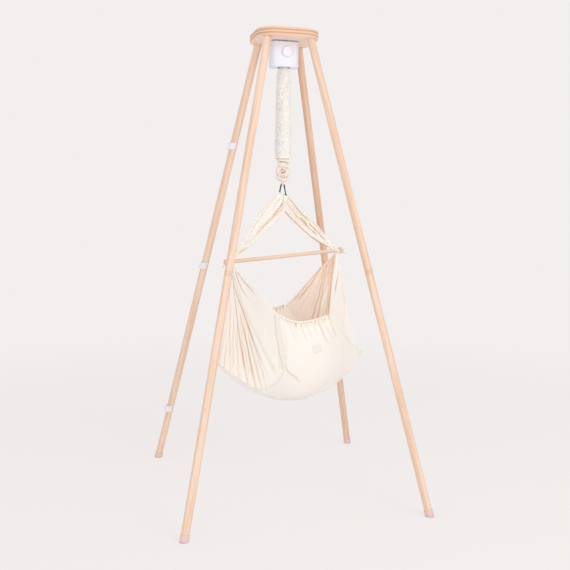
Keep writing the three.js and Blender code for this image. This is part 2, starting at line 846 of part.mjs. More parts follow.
function addSpringUnit() {
  const linkTop = sidePivot + eyeWire + gap + linkWire;
  addPiece("hanger_link", ovalLink(linkHalfWidth, frontPivot, linkTop, linkWire), materials.steel);

  const plugRadius = springRadius - springWire - gap;
  const plugEyeWire = linkWire;
  const plugEyeRadius = 6;
  const plugEyeCentre = frontPivot + linkWire + gap + plugEyeWire - plugEyeRadius;
  const plugBody = (bottom, top) => turned([
    [0, bottom],
    [plugRadius - 1, bottom],
    [plugRadius, bottom + 1],
    [plugRadius, top - 1],
    [plugRadius - 1, top],
    [0, top],
  ], metalSides).rotateX(PI / 2);
  const upperEye = new THREE.TorusGeometry(plugEyeRadius, plugEyeWire, 8, 18);
  const upperPlug = shaped(plugBody(springTop - plugLength, springTop), {
    join: [
      placed(upperEye, [0, 0, plugEyeCentre], [0, PI / 2, 0]),
      rod([0, 0, springTop - 2], [0, 0, plugEyeCentre - plugEyeRadius], 3.2, 14),
    ],
  });
  addPiece("spring_plug_upper", upperPlug, materials.steel);

  const lowerEye = placed(new THREE.TorusGeometry(lowerEyeRadius, eyeWire, 8, 18), [0, 0, 0], [PI / 2, 0, 0]);
  const lowerEyeCentre = lowerEyeHeight + lowerEyeRadius;
  const lowerPlug = shaped(plugBody(springBottom, springBottom + plugLength), {
    join: [
      placed(lowerEye, [0, 0, lowerEyeCentre]),
      rod([0, 0, springBottom + 2], [0, 0, lowerEyeCentre + lowerEyeRadius - 1], 3.2, 14),
    ],
  });
  addPiece("spring_plug_lower", lowerPlug, materials.steel);

  const stepsPerTurn = 7;
  const steps = springTurns * stepsPerTurn;
  const pitch = (springTop - springBottom - 2 * springWire) / springTurns;
  const helix = [];
  for (let i = 0; i <= steps; i += 1) {
    const angle = (2 * PI * i) / stepsPerTurn;
    const height = springBottom + springWire + (pitch * i) / stepsPerTurn;
    helix.push(new THREE.Vector3(springRadius * cos(angle), springRadius * sin(angle), height));
  }
  // Corners of the seven-sided turns lie on a slightly wider circle, so that no side comes nearer the plugs
  const widen = 1 / cos(PI / stepsPerTurn);
  const coil = helix.map((point) => new THREE.Vector3(point.x * widen, point.y * widen, point.z));
  addPiece("spring", lofted(tubeRings(coil, springWire, 5, new THREE.Vector3(0, 0, 1))), materials.steel);

  // Least distance between points of the wire that are at least half a turn apart, less the wire
  let least = Infinity;
  for (let i = 0; i < coil.length; i += 1) {
    for (let j = i + Math.ceil(stepsPerTurn / 2); j < Math.min(i + 2 * stepsPerTurn, coil.length); j += 1) {
      least = Math.min(least, coil[i].distanceTo(coil[j]));
    }
  }
  console.log(`spring: least gap between turns ${(least - 2 * springWire).toFixed(2)} mm`);

  const around = 18;
  const rows = 12;
  const sleevePoint = (row, k, inward) => {
    const share = row / rows;
    const angle = (2 * PI * k) / around;
    const early = sleeveRadiusTop + (sleeveRadiusMiddle - sleeveRadiusTop) * Math.min(2 * share, 1);
    const late = (sleeveRadiusBottom - sleeveRadiusMiddle) * Math.max(2 * share - 1, 0);
    const ends = sin(PI * share);
    const pleats = 0.7 * cos(5 * angle + 2.5 * share);
    const rucks = 0.8 * ends * sin(2 * PI * 3.5 * share + 1.2 * cos(angle));
    const radius = early + late + pleats + rucks - inward;
    const height = sleeveTop + (sleeveBottom - sleeveTop) * share;
    return new THREE.Vector3(radius * cos(angle), radius * sin(angle), height);
  };
  const sleeveRings = [];
  const ringAt = (row, inward) => Array.from({ length: around }, (unused, k) => sleevePoint(row, k, inward));
  for (let row = 0; row <= rows; row += 1) sleeveRings.push(ringAt(row, 0));
  for (let row = rows; row >= 0; row -= 1) sleeveRings.push(ringAt(row, sleeveWall));
  addPiece("spring_sleeve", lofted(sleeveRings, true), materials.sleeveCloth);
}

// Cloth loop and carabiner, turned with the cradle but hanging upright

const hanging = new THREE.Group();
hanging.position.set(0, 0, hangHeight);
hanging.rotation.z = cradleTurn;
model.add(hanging);

const carabinerTopCentre = carabinerApex - hangHeight - carabinerTopRadius;
const carabinerBottomCentre = carabinerTopCentre - carabinerCentres;
const armTilt = asin((carabinerBottomRadius - carabinerTopRadius) / carabinerCentres);
const armTop = new THREE.Vector3(
  carabinerTopRadius * cos(armTilt),
  0,
  carabinerTopCentre + carabinerTopRadius * sin(armTilt),
);
const armBottom = new THREE.Vector3(
  carabinerBottomRadius * cos(armTilt),
  0,
  carabinerBottomCentre + carabinerBottomRadius * sin(armTilt),
);
const armWay = armTop.clone().sub(armBottom).normalize();
const gatePivot = armBottom.clone().addScaledVector(armWay, 5);
const gateTip = gatePivot.clone().addScaledVector(armWay, gateLength);

/** Points of the pear outline from the gate's tip, over the top, round the bottom, to the gate's hub. */
function carabinerPath() {
  const path = [];
  const arc = (radius, centre, from, to, steps) => {
    for (let i = 0; i <= steps; i += 1) {
      const angle = from + ((to - from) * i) / steps;
      path.push(new THREE.Vector3(radius * cos(angle), 0, centre + radius * sin(angle)));
    }
  };
  path.push(gateTip.clone().addScaledVector(armWay, 0.5));
  arc(carabinerTopRadius, carabinerTopCentre, armTilt, PI - armTilt, 10);
  arc(carabinerBottomRadius, carabinerBottomCentre, PI - armTilt, 2 * PI + armTilt, 14);
  path.push(gatePivot.clone().addScaledVector(armWay, -gateHub * 0.6));
  return path;
}

const across = (point, halfLength, radius, sides = 16) => rod(
  [point.x, -halfLength, point.z],
  [point.x, halfLength, point.z],
  radius,
  sides,
);

function addCarabiner() {
  const yAxis = new THREE.Vector3(0, 1, 0);
  const wire = lofted(tubeRings(carabinerPath(), carabinerWire, 8, yAxis));
  const hub = across(gatePivot, gateHub, gateHub, 20);
  const cheek = 1.4;
  const hubHalf = gateHub - cheek;
  const slotBox = placed(
    new THREE.BoxGeometry(3 * gateHub, 2 * hubHalf, 2.9 * gateHub),
    [gatePivot.x, 0, gatePivot.z],
    [0, -armTilt, 0],
  );
  addPiece("carabiner_body", shaped(wire, {
    join: [hub],
    cut: [slotBox, across(gatePivot, gateHub + 1, gatePinRadius + gap)],
  }), materials.darkSteel, hanging);

  const gateHubRadius = gateHub - 0.4;
  const gateHubHalf = hubHalf - gap;
  const gateStart = gatePivot.clone().addScaledVector(armWay, gateHub * 0.3);
  const neck = rod(
    gateStart.toArray(),
    gatePivot.clone().addScaledVector(armWay, gateHub + 2.2).toArray(),
    gateHubHalf * 0.95,
    12,
  );
  const rodStart = gatePivot.clone().addScaledVector(armWay, gateHub + 0.8);
  const upperRod = rod(rodStart.toArray(), gateTip.toArray(), gateWire, 12);
  addPiece("carabiner_gate", shaped(across(gatePivot, gateHubHalf, gateHubRadius, 20), {
    join: [neck, upperRod],
    cut: [across(gatePivot, gateHub + 1, gatePinRadius + gap)],
  }), materials.darkSteel, hanging);
  addPiece("gate_pin", across(gatePivot, gateHub - 0.1, gatePinRadius, 12), materials.darkSteel, hanging);
}

function addKnottedLoop() {
  const high = (height) => height - hangHeight;
  const neck = turned([
    [0, high(knotNeck) - 6],
    [knotRope + 4, high(knotNeck) - 6],
    [sleeveRadiusBottom - 7, high(knotNeck)],
    [sleeveRadiusBottom - 0.5, high(knotNeck) + 6],
    [sleeveRadiusBottom + 2, high(sleeveBottom) - 7],
    [sleeveRadiusBottom - 1.5, high(sleeveBottom) - 1.5],
    [sleeveRadiusBottom - 6, high(sleeveBottom) + 2],
    [loopRope + 1, high(sleeveBottom) + 5],
    [0, high(sleeveBottom) + 5],
  ], metalSides).rotateX(PI / 2);
  const loopRadius = 10;
  const loopTop = high(lowerEyeHeight) + eyeWire + gap + loopRope;
  const loop = placed(new THREE.TorusGeometry(loopRadius, loopRope, 7, 14), [0, 0, loopTop - loopRadius], [0, PI / 2, 0]);
  const ring = placed(new THREE.TorusGeometry(knotRadius, knotRope, 8, 16), [0, 0, high(knotHeight)], [PI / 2, 0, 0]);
  const carryBottom = carabinerTopCentre + carabinerTopRadius - carabinerWire - gap - carryRope;
  const carryTop = high(knotHeight) - knotRadius;
  const carryRadius = (carryTop - carryBottom) / 2;
  const carry = placed(
    new THREE.TorusGeometry(carryRadius, carryRope, 7, 16),
    [0, 0, (carryTop + carryBottom) / 2],
    [0, PI / 2, 0],
  );
  const tailRoot = [-knotRadius * 0.9, -3, high(knotHeight) - knotRadius * 0.75];
  const tail = rod(tailRoot, [tailRoot[0] - 11, -5, tailRoot[2] - 9], 4.4, 10);
  addPiece("knotted_loop", shaped(neck, { join: [loop, ring, carry, tail] }), materials.sleeveCloth, hanging);
}

// Cradle: bar, straps, ties and cloth, tilted with its right end up

const cradle = new THREE.Group();
cradle.rotation.y = -cradleTilt;
hanging.add(cradle);

/** Sign-keeping power, which squares off a round section. */
const squared = (value, power) => sign(value) * abs(value) ** power;

/** The curve where an end fan is sewn to the pouch; v runs from the front edge, under the belly, to the back. */
function seamCurve(end) {
  const half = [
    [end.mouthX, mouthY, end.mouthDrop],
    [end.seamSide.x, end.seamSide.y, end.seamSide.drop],
    [end.seamLow.x, end.seamLow.y, end.seamLow.drop],
    [end.hipX, 0, end.hipDrop],
  ];
  const front = half.map(([x, y, drop]) => new THREE.Vector3(end.side * x, -y, -drop));
  const back = half.slice(0, -1).reverse().map(([x, y, drop]) => new THREE.Vector3(end.side * x, y, -drop));
  return new THREE.CatmullRomCurve3([...front, ...back], false, "centripetal");
}
const seamCurves = { left: seamCurve(ends.left), right: seamCurve(ends.right) };
const seamPoint = (endName, v) => seamCurves[endName].getPoint(Math.min(Math.max((v + 1) / 2, 0), 1));

/** The cradle's middle section. */
function middlePoint(v) {
  const angle = (v * PI) / 2;
  const edge = (ends.left.mouthDrop + ends.right.mouthDrop) / 2 + mouthSag;
  const bulge = 8 * sin(2 * abs(angle));
  return new THREE.Vector3(
    (seamPoint("left", v).x + seamPoint("right", v).x) / 2,
    mouthY * squared(sin(angle), 0.75) + sign(v) * bulge,
    -edge - (bellyDrop - edge) * abs(cos(angle)) ** 0.8,
  );
}

/** A point of the pouch; t runs from the left seam at -1 to the right seam at 1. */
function pouchPoint(t, v) {
  const endName = t < 0 ? "left" : "right";
  const middle = middlePoint(v);
  const seam = seamPoint(endName, v);
  const arc = ends[endName].bellyArc;
  const reach = sin(abs(t) * arc) / sin(arc);
  const rise = (1 - cos(abs(t) * arc)) / (1 - cos(arc));
  const edging = Math.max(0, (abs(v) - 0.7) / 0.3) * cos((t * PI) / 2);
  const gather = mouthGatherDepth * sin(PI * mouthGathers * t) * edging;
  return new THREE.Vector3(
    middle.x + (seam.x - middle.x) * reach,
    middle.y + (seam.y - middle.y) * rise + sign(v) * gather,
    middle.z + (seam.z - middle.z) * rise,
  );
}

/** The pouch's surface carried on past its rims by little more than the gap. */
function beyondPouch(t, v) {
  const [tInside, vInside] = [t, v].map((share) => Math.min(Math.max(share, -1), 1));
  const point = pouchPoint(tInside, vInside);
  const inner = pouchPoint(0.98 * tInside, 0.98 * vInside);
  const excess = Math.max(abs(t), abs(v)) - 1;
  if (excess <= 0) return point;
  const outward = point.clone().sub(inner).normalize();
  return point.addScaledVector(outward, 3 * excess * gap * pouchCells);
}

const gatherX = barHalfLength - strapInset;
const gatherDrop = barDrop + barRadius + strapHem + gap + clothThickness;

/** A point of an end fan; share runs from the gathered top at 0 to the seam at 1. */
function fanPoint(endName, share, v) {
  const { side, hipX, mouthDrop, fanBow } = ends[endName];
  const seam = seamPoint(endName, v);
  const gathered = new THREE.Vector3(
    side * (gatherX + gatherScale * (abs(seam.x) - hipX)),
    gatherScale * seam.y,
    -gatherDrop + gatherScale * (seam.z + mouthDrop),
  );
  const point = gathered.clone().lerp(seam, share);
  const outward = new THREE.Vector3(side * cos((v * PI) / 2) * 0.9, sin((v * PI) / 2), 0).normalize();
  const inside = Math.min(Math.max(share, 0), 1);
  const swell = fanFoldDepth * (inside ** 0.8) * abs(sin(PI * inside)) ** 0.6;
  const fold = cos(PI * fanFolds * v + 0.9 * side) * (1 - 0.75 * Math.max(0, abs(v) - 0.55) / 0.45);
  point.x -= side * fanBow * sin(PI * inside ** 1.8) * cos((v * PI) / 2);
  return point.addScaledVector(outward, swell * fold);
}

/** The spreader bar's clearance. */
const barRoom = rod(
  [-barHalfLength - 5, 0, -barDrop],
  [barHalfLength + 5, 0, -barDrop],
  barRadius + gap,
  metalSides,
);

/** A closed skin between two offsets of a surface, over a stretch of its two directions. */
function skin(surface, { along, over, alongSteps, overSteps, outer, inner, blend = null }) {
  const step = 1e-3;
  const sheets = [[], []];
  for (let i = 0; i <= alongSteps; i += 1) {
    const s = along[0] + ((along[1] - along[0]) * i) / alongSteps;
    for (let j = 0; j <= overSteps; j += 1) {
      const v = over[0] + ((over[1] - over[0]) * j) / overSteps;
      const vSafe = Math.max(Math.min(v, 1 - 2 * step), -1 + 2 * step);
      const runS = surface(s + step, vSafe).sub(surface(s - step, vSafe));
      const runV = surface(s, vSafe + step).sub(surface(s, vSafe - step));
      const normal = runV.cross(runS).normalize();
      const point = surface(s, v);
      const away = new THREE.Vector3(point.x, point.y, Math.min(point.z + gatherDrop, -1));
      if (normal.dot(away) < 0) normal.negate();
      const [high, low] = blend ? blend(i / alongSteps, j / overSteps) : [outer, inner];
      sheets[0].push(point.clone().addScaledVector(normal, high));
      sheets[1].push(point.clone().addScaledVector(normal, low));
    }
  }
  const points = sheets.flat();
  const layer = sheets[0].length;
  const at = (sheet, i, j) => sheet * layer + i * (overSteps + 1) + j;
  const triangles = [];
  const quad = (a, b, c, d) => triangles.push(a, b, c, a, c, d);
  for (let i = 0; i < alongSteps; i += 1) {
    for (let j = 0; j < overSteps; j += 1) {
      quad(at(0, i, j), at(0, i + 1, j), at(0, i + 1, j + 1), at(0, i, j + 1));
      quad(at(1, i, j), at(1, i, j + 1), at(1, i + 1, j + 1), at(1, i + 1, j));
    }
  }
  for (let i = 0; i < alongSteps; i += 1) {
    quad(at(0, i, 0), at(1, i, 0), at(1, i + 1, 0), at(0, i + 1, 0));
    quad(at(0, i + 1, overSteps), at(1, i + 1, overSteps), at(1, i, overSteps), at(0, i, overSteps));
  }
  for (let j = 0; j < overSteps; j += 1) {
    quad(at(0, 0, j + 1), at(1, 0, j + 1), at(1, 0, j), at(0, 0, j));
    quad(at(0, alongSteps, j), at(1, alongSteps, j), at(1, alongSteps, j + 1), at(0, alongSteps, j + 1));
  }
  return facing(points, triangles);
}

function addCradleCloth() {
  const half = clothThickness / 2;
  // What is sewn to the pouch is cut back from its cloth; one more cell at each rim reaches past it
  const cell = 2 / pouchCells;
  const pouchRoom = skin(beyondPouch, {
    along: [-1 - cell, 1 + cell],
    over: [-1 - cell, 1 + cell],
    alongSteps: pouchCells + 2,
    overSteps: pouchCells + 2,
    outer: half + gap,
    inner: -half - gap,
  });
  const fanLength = ends.left.hipDrop - gatherDrop;
  const seam = seamGap / fanLength;
  for (const [sideName, { side }] of Object.entries(ends)) {
    const fan = skin((share, v) => fanPoint(sideName, share, v), {
      along: [-fanTuck, 1 - seam],
      over: [-fanReach, fanReach],
      alongSteps: 5,
      overSteps: 34,
      outer: half,
      inner: -half,
    });
    addPiece(`end_fan_${sideName}`, shaped(fan, { cut: [pouchRoom, barRoom, strapSolid(sideName, gap)] }), materials.cloth, cradle);
  }
  const pouch = skin(pouchPoint, {
    along: [-1, 1],
    over: [-1, 1],
    alongSteps: pouchCells,
    overSteps: pouchCells,
    outer: half,
    inner: -half,
  });
  addPiece("pouch", pouch, materials.cloth, cradle);

  // The mattress shares the pouch's grid, so that it lies evenly on the cloth
  const padReach = mattressCellsAlong / pouchCells;
  const padArc = mattressCellsOver / pouchCells;
  const pad = skin(pouchPoint, {
    along: [-padReach, padReach],
    over: [-padArc, padArc],
    alongSteps: mattressCellsAlong,
    overSteps: mattressCellsOver,
    blend: (a, b) => {
      const edge = Math.min(sin(PI * a) * 3, 1) * Math.min(sin(PI * b) * 2.2, 1);
      const depth = mattressThickness * (0.3 + 0.7 * edge) + 2 * sin(PI * a) * sin(PI * b);
      return [-half - gap, -half - gap - depth];
    },
  });
  addPiece("mattress", pad, materials.foam, cradle);

  for (const [name, v] of [["mouth_hem_front", -1], ["mouth_hem_back", 1]]) {
    const inward = 0.92;
    const path = [];
    const count = 14;
    for (let i = 0; i <= count; i += 1) {
      const t = -inward + (2 * inward * i) / count;
      const edge = pouchPoint(t, v);
      const below = pouchPoint(t, v * 0.97);
      const upward = edge.clone().sub(below).normalize();
      path.push(edge.addScaledVector(upward, hemRadius + gap + 0.4));
    }
    const curve = new THREE.CatmullRomCurve3(path);
    const hem = sweptTube(curve, hemRadius, 7, 14);
    addPiece(name, shaped(hem, { cut: [pouchRoom] }), materials.cloth, cradle);
  }

  const labelT = 0.18;
  const labelV = -0.84;
  const perT = pouchPoint(labelT + 0.01, labelV).distanceTo(pouchPoint(labelT, labelV)) / 0.01;
  const perV = pouchPoint(labelT, labelV + 0.01).distanceTo(pouchPoint(labelT, labelV)) / 0.01;
  const label = skin(pouchPoint, {
    along: [labelT - labelSide / 2 / perT, labelT + labelSide / 2 / perT],
    over: [labelV - labelSide / 2 / perV, labelV + labelSide / 2 / perV],
    alongSteps: 3,
    overSteps: 3,
    outer: half + gap + 0.6 + labelThickness,
    inner: half + gap + 0.6,
  });
  addPiece("label_patch", label, materials.webbing, cradle);
}

/** A cloth band with lengthwise pleats, from the carabiner's bow to the bar, grown all round by an amount. */
function strapSolid(sideName, growth = 0) {
  const { side, middleWidth, droopDepth } = straps[sideName];
  const top = new THREE.Vector3(side * strapTopX, 0, strapTopRise);
  const end = new THREE.Vector3(side * (barHalfLength - strapInset), 0, -barDrop);
  const way = end.clone().sub(top);
  const length = way.length();
  way.normalize();
  const flat = new THREE.Vector3(way.z, 0, -way.x);
  const deep = new THREE.Vector3(0, 1, 0);
  const rings = [];
  const steps = 9;
  const around = 16;
  const start = -16;
  const finish = length + barRadius + strapHem + growth;
  for (let i = 0; i <= steps; i += 1) {
    const distance = start + ((finish - start) * i) / steps;
    const share = Math.min(Math.max(distance / length, 0), 1);
    const swell = abs(sin(PI * share)) ** 0.7;
    const endWidth = strapTopWidth + (strapEndWidth - strapTopWidth) * share;
    const width = endWidth + (middleWidth - endWidth) * swell;
    const thickness = strapTopThickness + (strapMiddleThickness - strapTopThickness) * swell;
    const droop = -droopDepth * sin(PI * share);
    const capShare = Math.min(i, steps - i) === 0 ? 0.72 : 1;
    const centre = top.clone().addScaledVector(way, distance);
    centre.z += droop;
    rings.push(Array.from({ length: around }, (unused, k) => {
      const angle = (2 * PI * k) / around;
      const pleat = strapPleatDepth * cos(strapPleats * angle) * swell;
      const wide = (width / 2 + growth) * cos(angle) * capShare;
      const thick = (thickness / 2 + pleat + growth) * squared(sin(angle), 0.8) * capShare;
      return centre.clone().addScaledVector(flat, wide).addScaledVector(deep, thick);
    }));
  }
  return lofted(rings);
}

function addBarAndStraps() {
  const bar = turned([
    [0, -barHalfLength],
    [barRadius - 1, -barHalfLength],
    [barRadius, -barHalfLength + 1],
    [barRadius, barHalfLength - 1],
    [barRadius - 1, barHalfLength],
    [0, barHalfLength],
  ], metalSides).rotateZ(-PI / 2);
  addPiece("spreader_bar", placed(bar, [0, 0, -barDrop]), materials.beech, cradle);

  // The carabiner stands upright, so its clearance is turned back into the tilted cradle
  const upright = (geometry) => geometry.clone().rotateY(cradleTilt);
  const yAxis = new THREE.Vector3(0, 1, 0);
  const bow = upright(lofted(tubeRings(carabinerPath(), carabinerWire + gap, 8, yAxis)));
  const hubRoom = upright(across(gatePivot, gateHub + gap, gateHub + gap, 20));
  const sweepTop = gateTip.z + 4;
  const gateRoom = upright(block(
    [-carabinerTopRadius, -gateWire - 1, carabinerBottomCentre + 1],
    [carabinerBottomRadius + carabinerWire + 1, gateWire + 1, sweepTop],
  ));
  for (const [sideName, { side }] of Object.entries(straps)) {
    const near = side * gap;
    const far = side * 2 * barHalfLength;
    const half = block(
      [Math.min(near, far), -strapTopWidth, -2 * barDrop],
      [Math.max(near, far), strapTopWidth, strapTopWidth],
    );
    const strap = shaped(strapSolid(sideName), { cut: [bow, hubRoom, gateRoom, barRoom], keep: half });
    addPiece(`strap_${sideName}`, strap, materials.cloth, cradle);

    const tieX = side * (barHalfLength - tieInset);
    const wrap = placed(
      new THREE.TorusGeometry(barRadius + gap + tieRadius, tieRadius, 7, 16),
      [tieX, 0, -barDrop],
      [0, PI / 2, 0],
    );
    const tailTop = [tieX, -2, -barDrop - barRadius - tieRadius];
    const tail = rod(tailTop, [tieX + side * tieTail * 0.7, -6, tailTop[2] - tieTail * 0.6], tieRadius * 0.8, 8);
    addPiece(`bar_tie_${sideName}`, shaped(wrap, { join: [tail] }), materials.cloth, cradle);
  }
}

addStand();
addLeadStraps();
addHousing();
addControls();
addDrive();
addSpringUnit();
addKnottedLoop();
addCarabiner();
addBarAndStraps();
addCradleCloth();

export default model;
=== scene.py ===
"""Looks of a motorised baby hammock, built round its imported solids.

Everything is in metres, with the origin on the floor between the feet and +Z up.
"""

import json
import logging
import math
from collections.abc import Callable, Mapping, Sequence
from dataclasses import dataclass, field, replace
from enum import Enum

import bmesh
import bpy
import numpy as np
from mathutils import Matrix, Vector


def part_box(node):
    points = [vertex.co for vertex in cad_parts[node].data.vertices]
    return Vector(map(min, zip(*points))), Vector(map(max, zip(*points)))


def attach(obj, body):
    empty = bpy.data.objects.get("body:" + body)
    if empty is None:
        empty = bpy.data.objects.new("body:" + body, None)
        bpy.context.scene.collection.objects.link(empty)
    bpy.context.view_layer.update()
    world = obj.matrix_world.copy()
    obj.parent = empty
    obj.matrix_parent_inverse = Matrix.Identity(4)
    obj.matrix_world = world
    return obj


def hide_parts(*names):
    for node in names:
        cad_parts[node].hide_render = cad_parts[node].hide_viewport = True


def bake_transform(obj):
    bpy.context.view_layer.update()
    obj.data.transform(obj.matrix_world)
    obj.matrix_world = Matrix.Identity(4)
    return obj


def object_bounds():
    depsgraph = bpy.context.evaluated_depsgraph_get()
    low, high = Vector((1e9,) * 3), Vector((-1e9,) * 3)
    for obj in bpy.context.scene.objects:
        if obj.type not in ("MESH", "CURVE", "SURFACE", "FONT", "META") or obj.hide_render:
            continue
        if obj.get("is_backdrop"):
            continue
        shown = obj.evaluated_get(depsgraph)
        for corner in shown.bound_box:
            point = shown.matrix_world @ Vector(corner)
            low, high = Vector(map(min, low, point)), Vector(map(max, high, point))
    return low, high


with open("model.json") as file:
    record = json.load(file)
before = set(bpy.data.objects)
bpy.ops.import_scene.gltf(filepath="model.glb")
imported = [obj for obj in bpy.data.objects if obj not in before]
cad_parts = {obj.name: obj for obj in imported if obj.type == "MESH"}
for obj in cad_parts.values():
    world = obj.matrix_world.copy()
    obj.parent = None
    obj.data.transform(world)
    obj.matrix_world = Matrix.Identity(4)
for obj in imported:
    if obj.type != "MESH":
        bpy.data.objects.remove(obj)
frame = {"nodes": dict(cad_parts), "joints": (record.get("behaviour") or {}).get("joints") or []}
cad_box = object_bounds()

Array = np.ndarray
Piece = bpy.types.Object
Material = bpy.types.Material
Mesh = bpy.types.Mesh
Socket = bpy.types.NodeSocket
Colour = tuple[float, float, float, float]
Triple = tuple[float, float, float]
Pair = tuple[Array, Array]
Surface = Callable[[Array, Array], Array]
log = logging.getLogger("hammock")


def srgb(red: int, green: int, blue: int) -> Colour:
    """Turns a screen colour into the linear one that shaders use.

    Args:
        red: Red from 0 to 255.
        green: Green from 0 to 255.
        blue: Blue from 0 to 255.

    Returns:
        Linear red, green, blue and an alpha of 1.
    """
    linear = [
        share / 12.92 if share <= 0.04045 else ((share + 0.055) / 1.055) ** 2.4
        for share in (red / 255, green / 255, blue / 255)
    ]
    return (*linear, 1.0)


def smooth_step(low: float, high: float, value: Array) -> Array:
    """Eases from 0 below low to 1 above high."""
    share = np.clip((value - low) / (high - low), 0.0, 1.0)
    return share * share * (3.0 - 2.0 * share)


class Ripple:
    """A smooth, seeded pattern of plane waves over two directions."""

    def __init__(self, seed: int, low: float, high: float, count: int = 14) -> None:
        """Draws the waves.

        Args:
            seed: Seed of the draw.
            low: Least number of waves per unit.
            high: Greatest number of waves per unit.
            count: How many waves are added up.
        """
        draw = np.random.default_rng(seed)
        angle = draw.uniform(0.0, math.tau, count)
        pace = math.tau * draw.uniform(low, high, count)
        self.along = pace * np.cos(angle)
        self.over = pace * np.sin(angle)
        self.phase = draw.uniform(0.0, math.tau, count)

    def at(self, first: Array, second: Array) -> Array:
        """Reads the pattern, mostly between -1 and 1, at two arrays that broadcast together.

        Args:
            first: Places along the first direction.
            second: Places along the second.

        Returns:
            The pattern.
        """
        total = np.zeros(np.broadcast(first, second).shape)
        for along, over, phase in zip(self.along, self.over, self.phase):
            total = total + np.sin(along * first + over * second + phase)
        return total / math.sqrt(len(self.phase))


# Shader maths and finishes


class Value:
    """A number in a shader tree that takes part in ordinary maths."""

    def __init__(self, sheet: "ShaderSheet", socket: Socket) -> None:
        """Wraps a socket of a sheet."""
        self.sheet = sheet
        self.socket = socket

    def apply(self, operation: str, *others: "Value | float", first: bool = True) -> "Value":
        """Adds a Math node.

        Args:
            operation: The Math node's operation.
            others: Its other values.
            first: Whether this value comes first.

        Returns:
            The node's result.
        """
        values = (self, *others) if first else (*others, self)
        node = self.sheet.node("ShaderNodeMath", {"operation": operation}, dict(enumerate(values)))
        return Value(self.sheet, node.outputs[0])

    def __add__(self, other: "Value | float") -> "Value":
        """Adds."""
        return self.apply("ADD", other)

    __radd__ = __add__

    def __sub__(self, other: "Value | float") -> "Value":
        """Subtracts."""
        return self.apply("SUBTRACT", other)

    def __rsub__(self, other: "Value | float") -> "Value":
        """Subtracts this value from a number."""
        return self.apply("SUBTRACT", other, first=False)

    def __mul__(self, other: "Value | float") -> "Value":
        """Multiplies."""
        return self.apply("MULTIPLY", other)

    __rmul__ = __mul__

    def sine(self) -> "Value":
        """Takes the sine."""
        return self.apply("SINE")

    def size(self) -> "Value":
        """Takes the absolute value."""
        return self.apply("ABSOLUTE")

    def between(self, low: float, high: float) -> "Value":
        """Eases from 0 below low to 1 above high.

        Args:
            low: Where it starts to rise.
            high: Where it reaches 1.

        Returns:
            The eased value.
        """
        node = self.sheet.node("ShaderNodeMapRange", {"interpolation_type": "SMOOTHSTEP"}, {
            "Value": self, "From Min": low, "From Max": high,
        })
        return Value(self.sheet, node.outputs[0])


class Sheet:
    """A node tree that gets its nodes from one method."""

    def __init__(self, tree: bpy.types.NodeTree) -> None:
        """Takes the tree."""
        self.tree = tree

    def node(
        self,
        kind: str,
        settings: Mapping[str, object] | None = None,
        inputs: Mapping[str | int, object] | None = None,
    ) -> bpy.types.Node:
        """Adds a node.

        Args:
            kind: The node's type.
            settings: Its properties, set first.
            inputs: Values or links of its sockets, by place, identifier or name.

        Returns:
            The new node.
        """
        node = self.tree.nodes.new(kind)
        for key, value in (settings or {}).items():
            setattr(node, key, value)
        for key, value in (inputs or {}).items():
            self.feed(self.socket(node, key), value)
        return node

    @staticmethod
    def socket(node: bpy.types.Node, key: str | int) -> Socket:
        """Finds an input by its place, identifier or name.

        Args:
            node: The node.
            key: What the input is known by.

        Returns:
            The input.
        """
        if isinstance(key, int):
            return node.inputs[key]
        return next((socket for socket in node.inputs if socket.identifier == key), None) or node.inputs[key]

    def feed(self, socket: Socket, value: object) -> None:
        """Links a socket to another, or sets its value.

        Args:
            socket: The input.
            value: A value of the maths, a socket or a plain value.
        """
        if isinstance(value, Value):
            value = value.socket
        if isinstance(value, Socket):
            self.tree.links.new(value, socket)
        else:
            socket.default_value = value


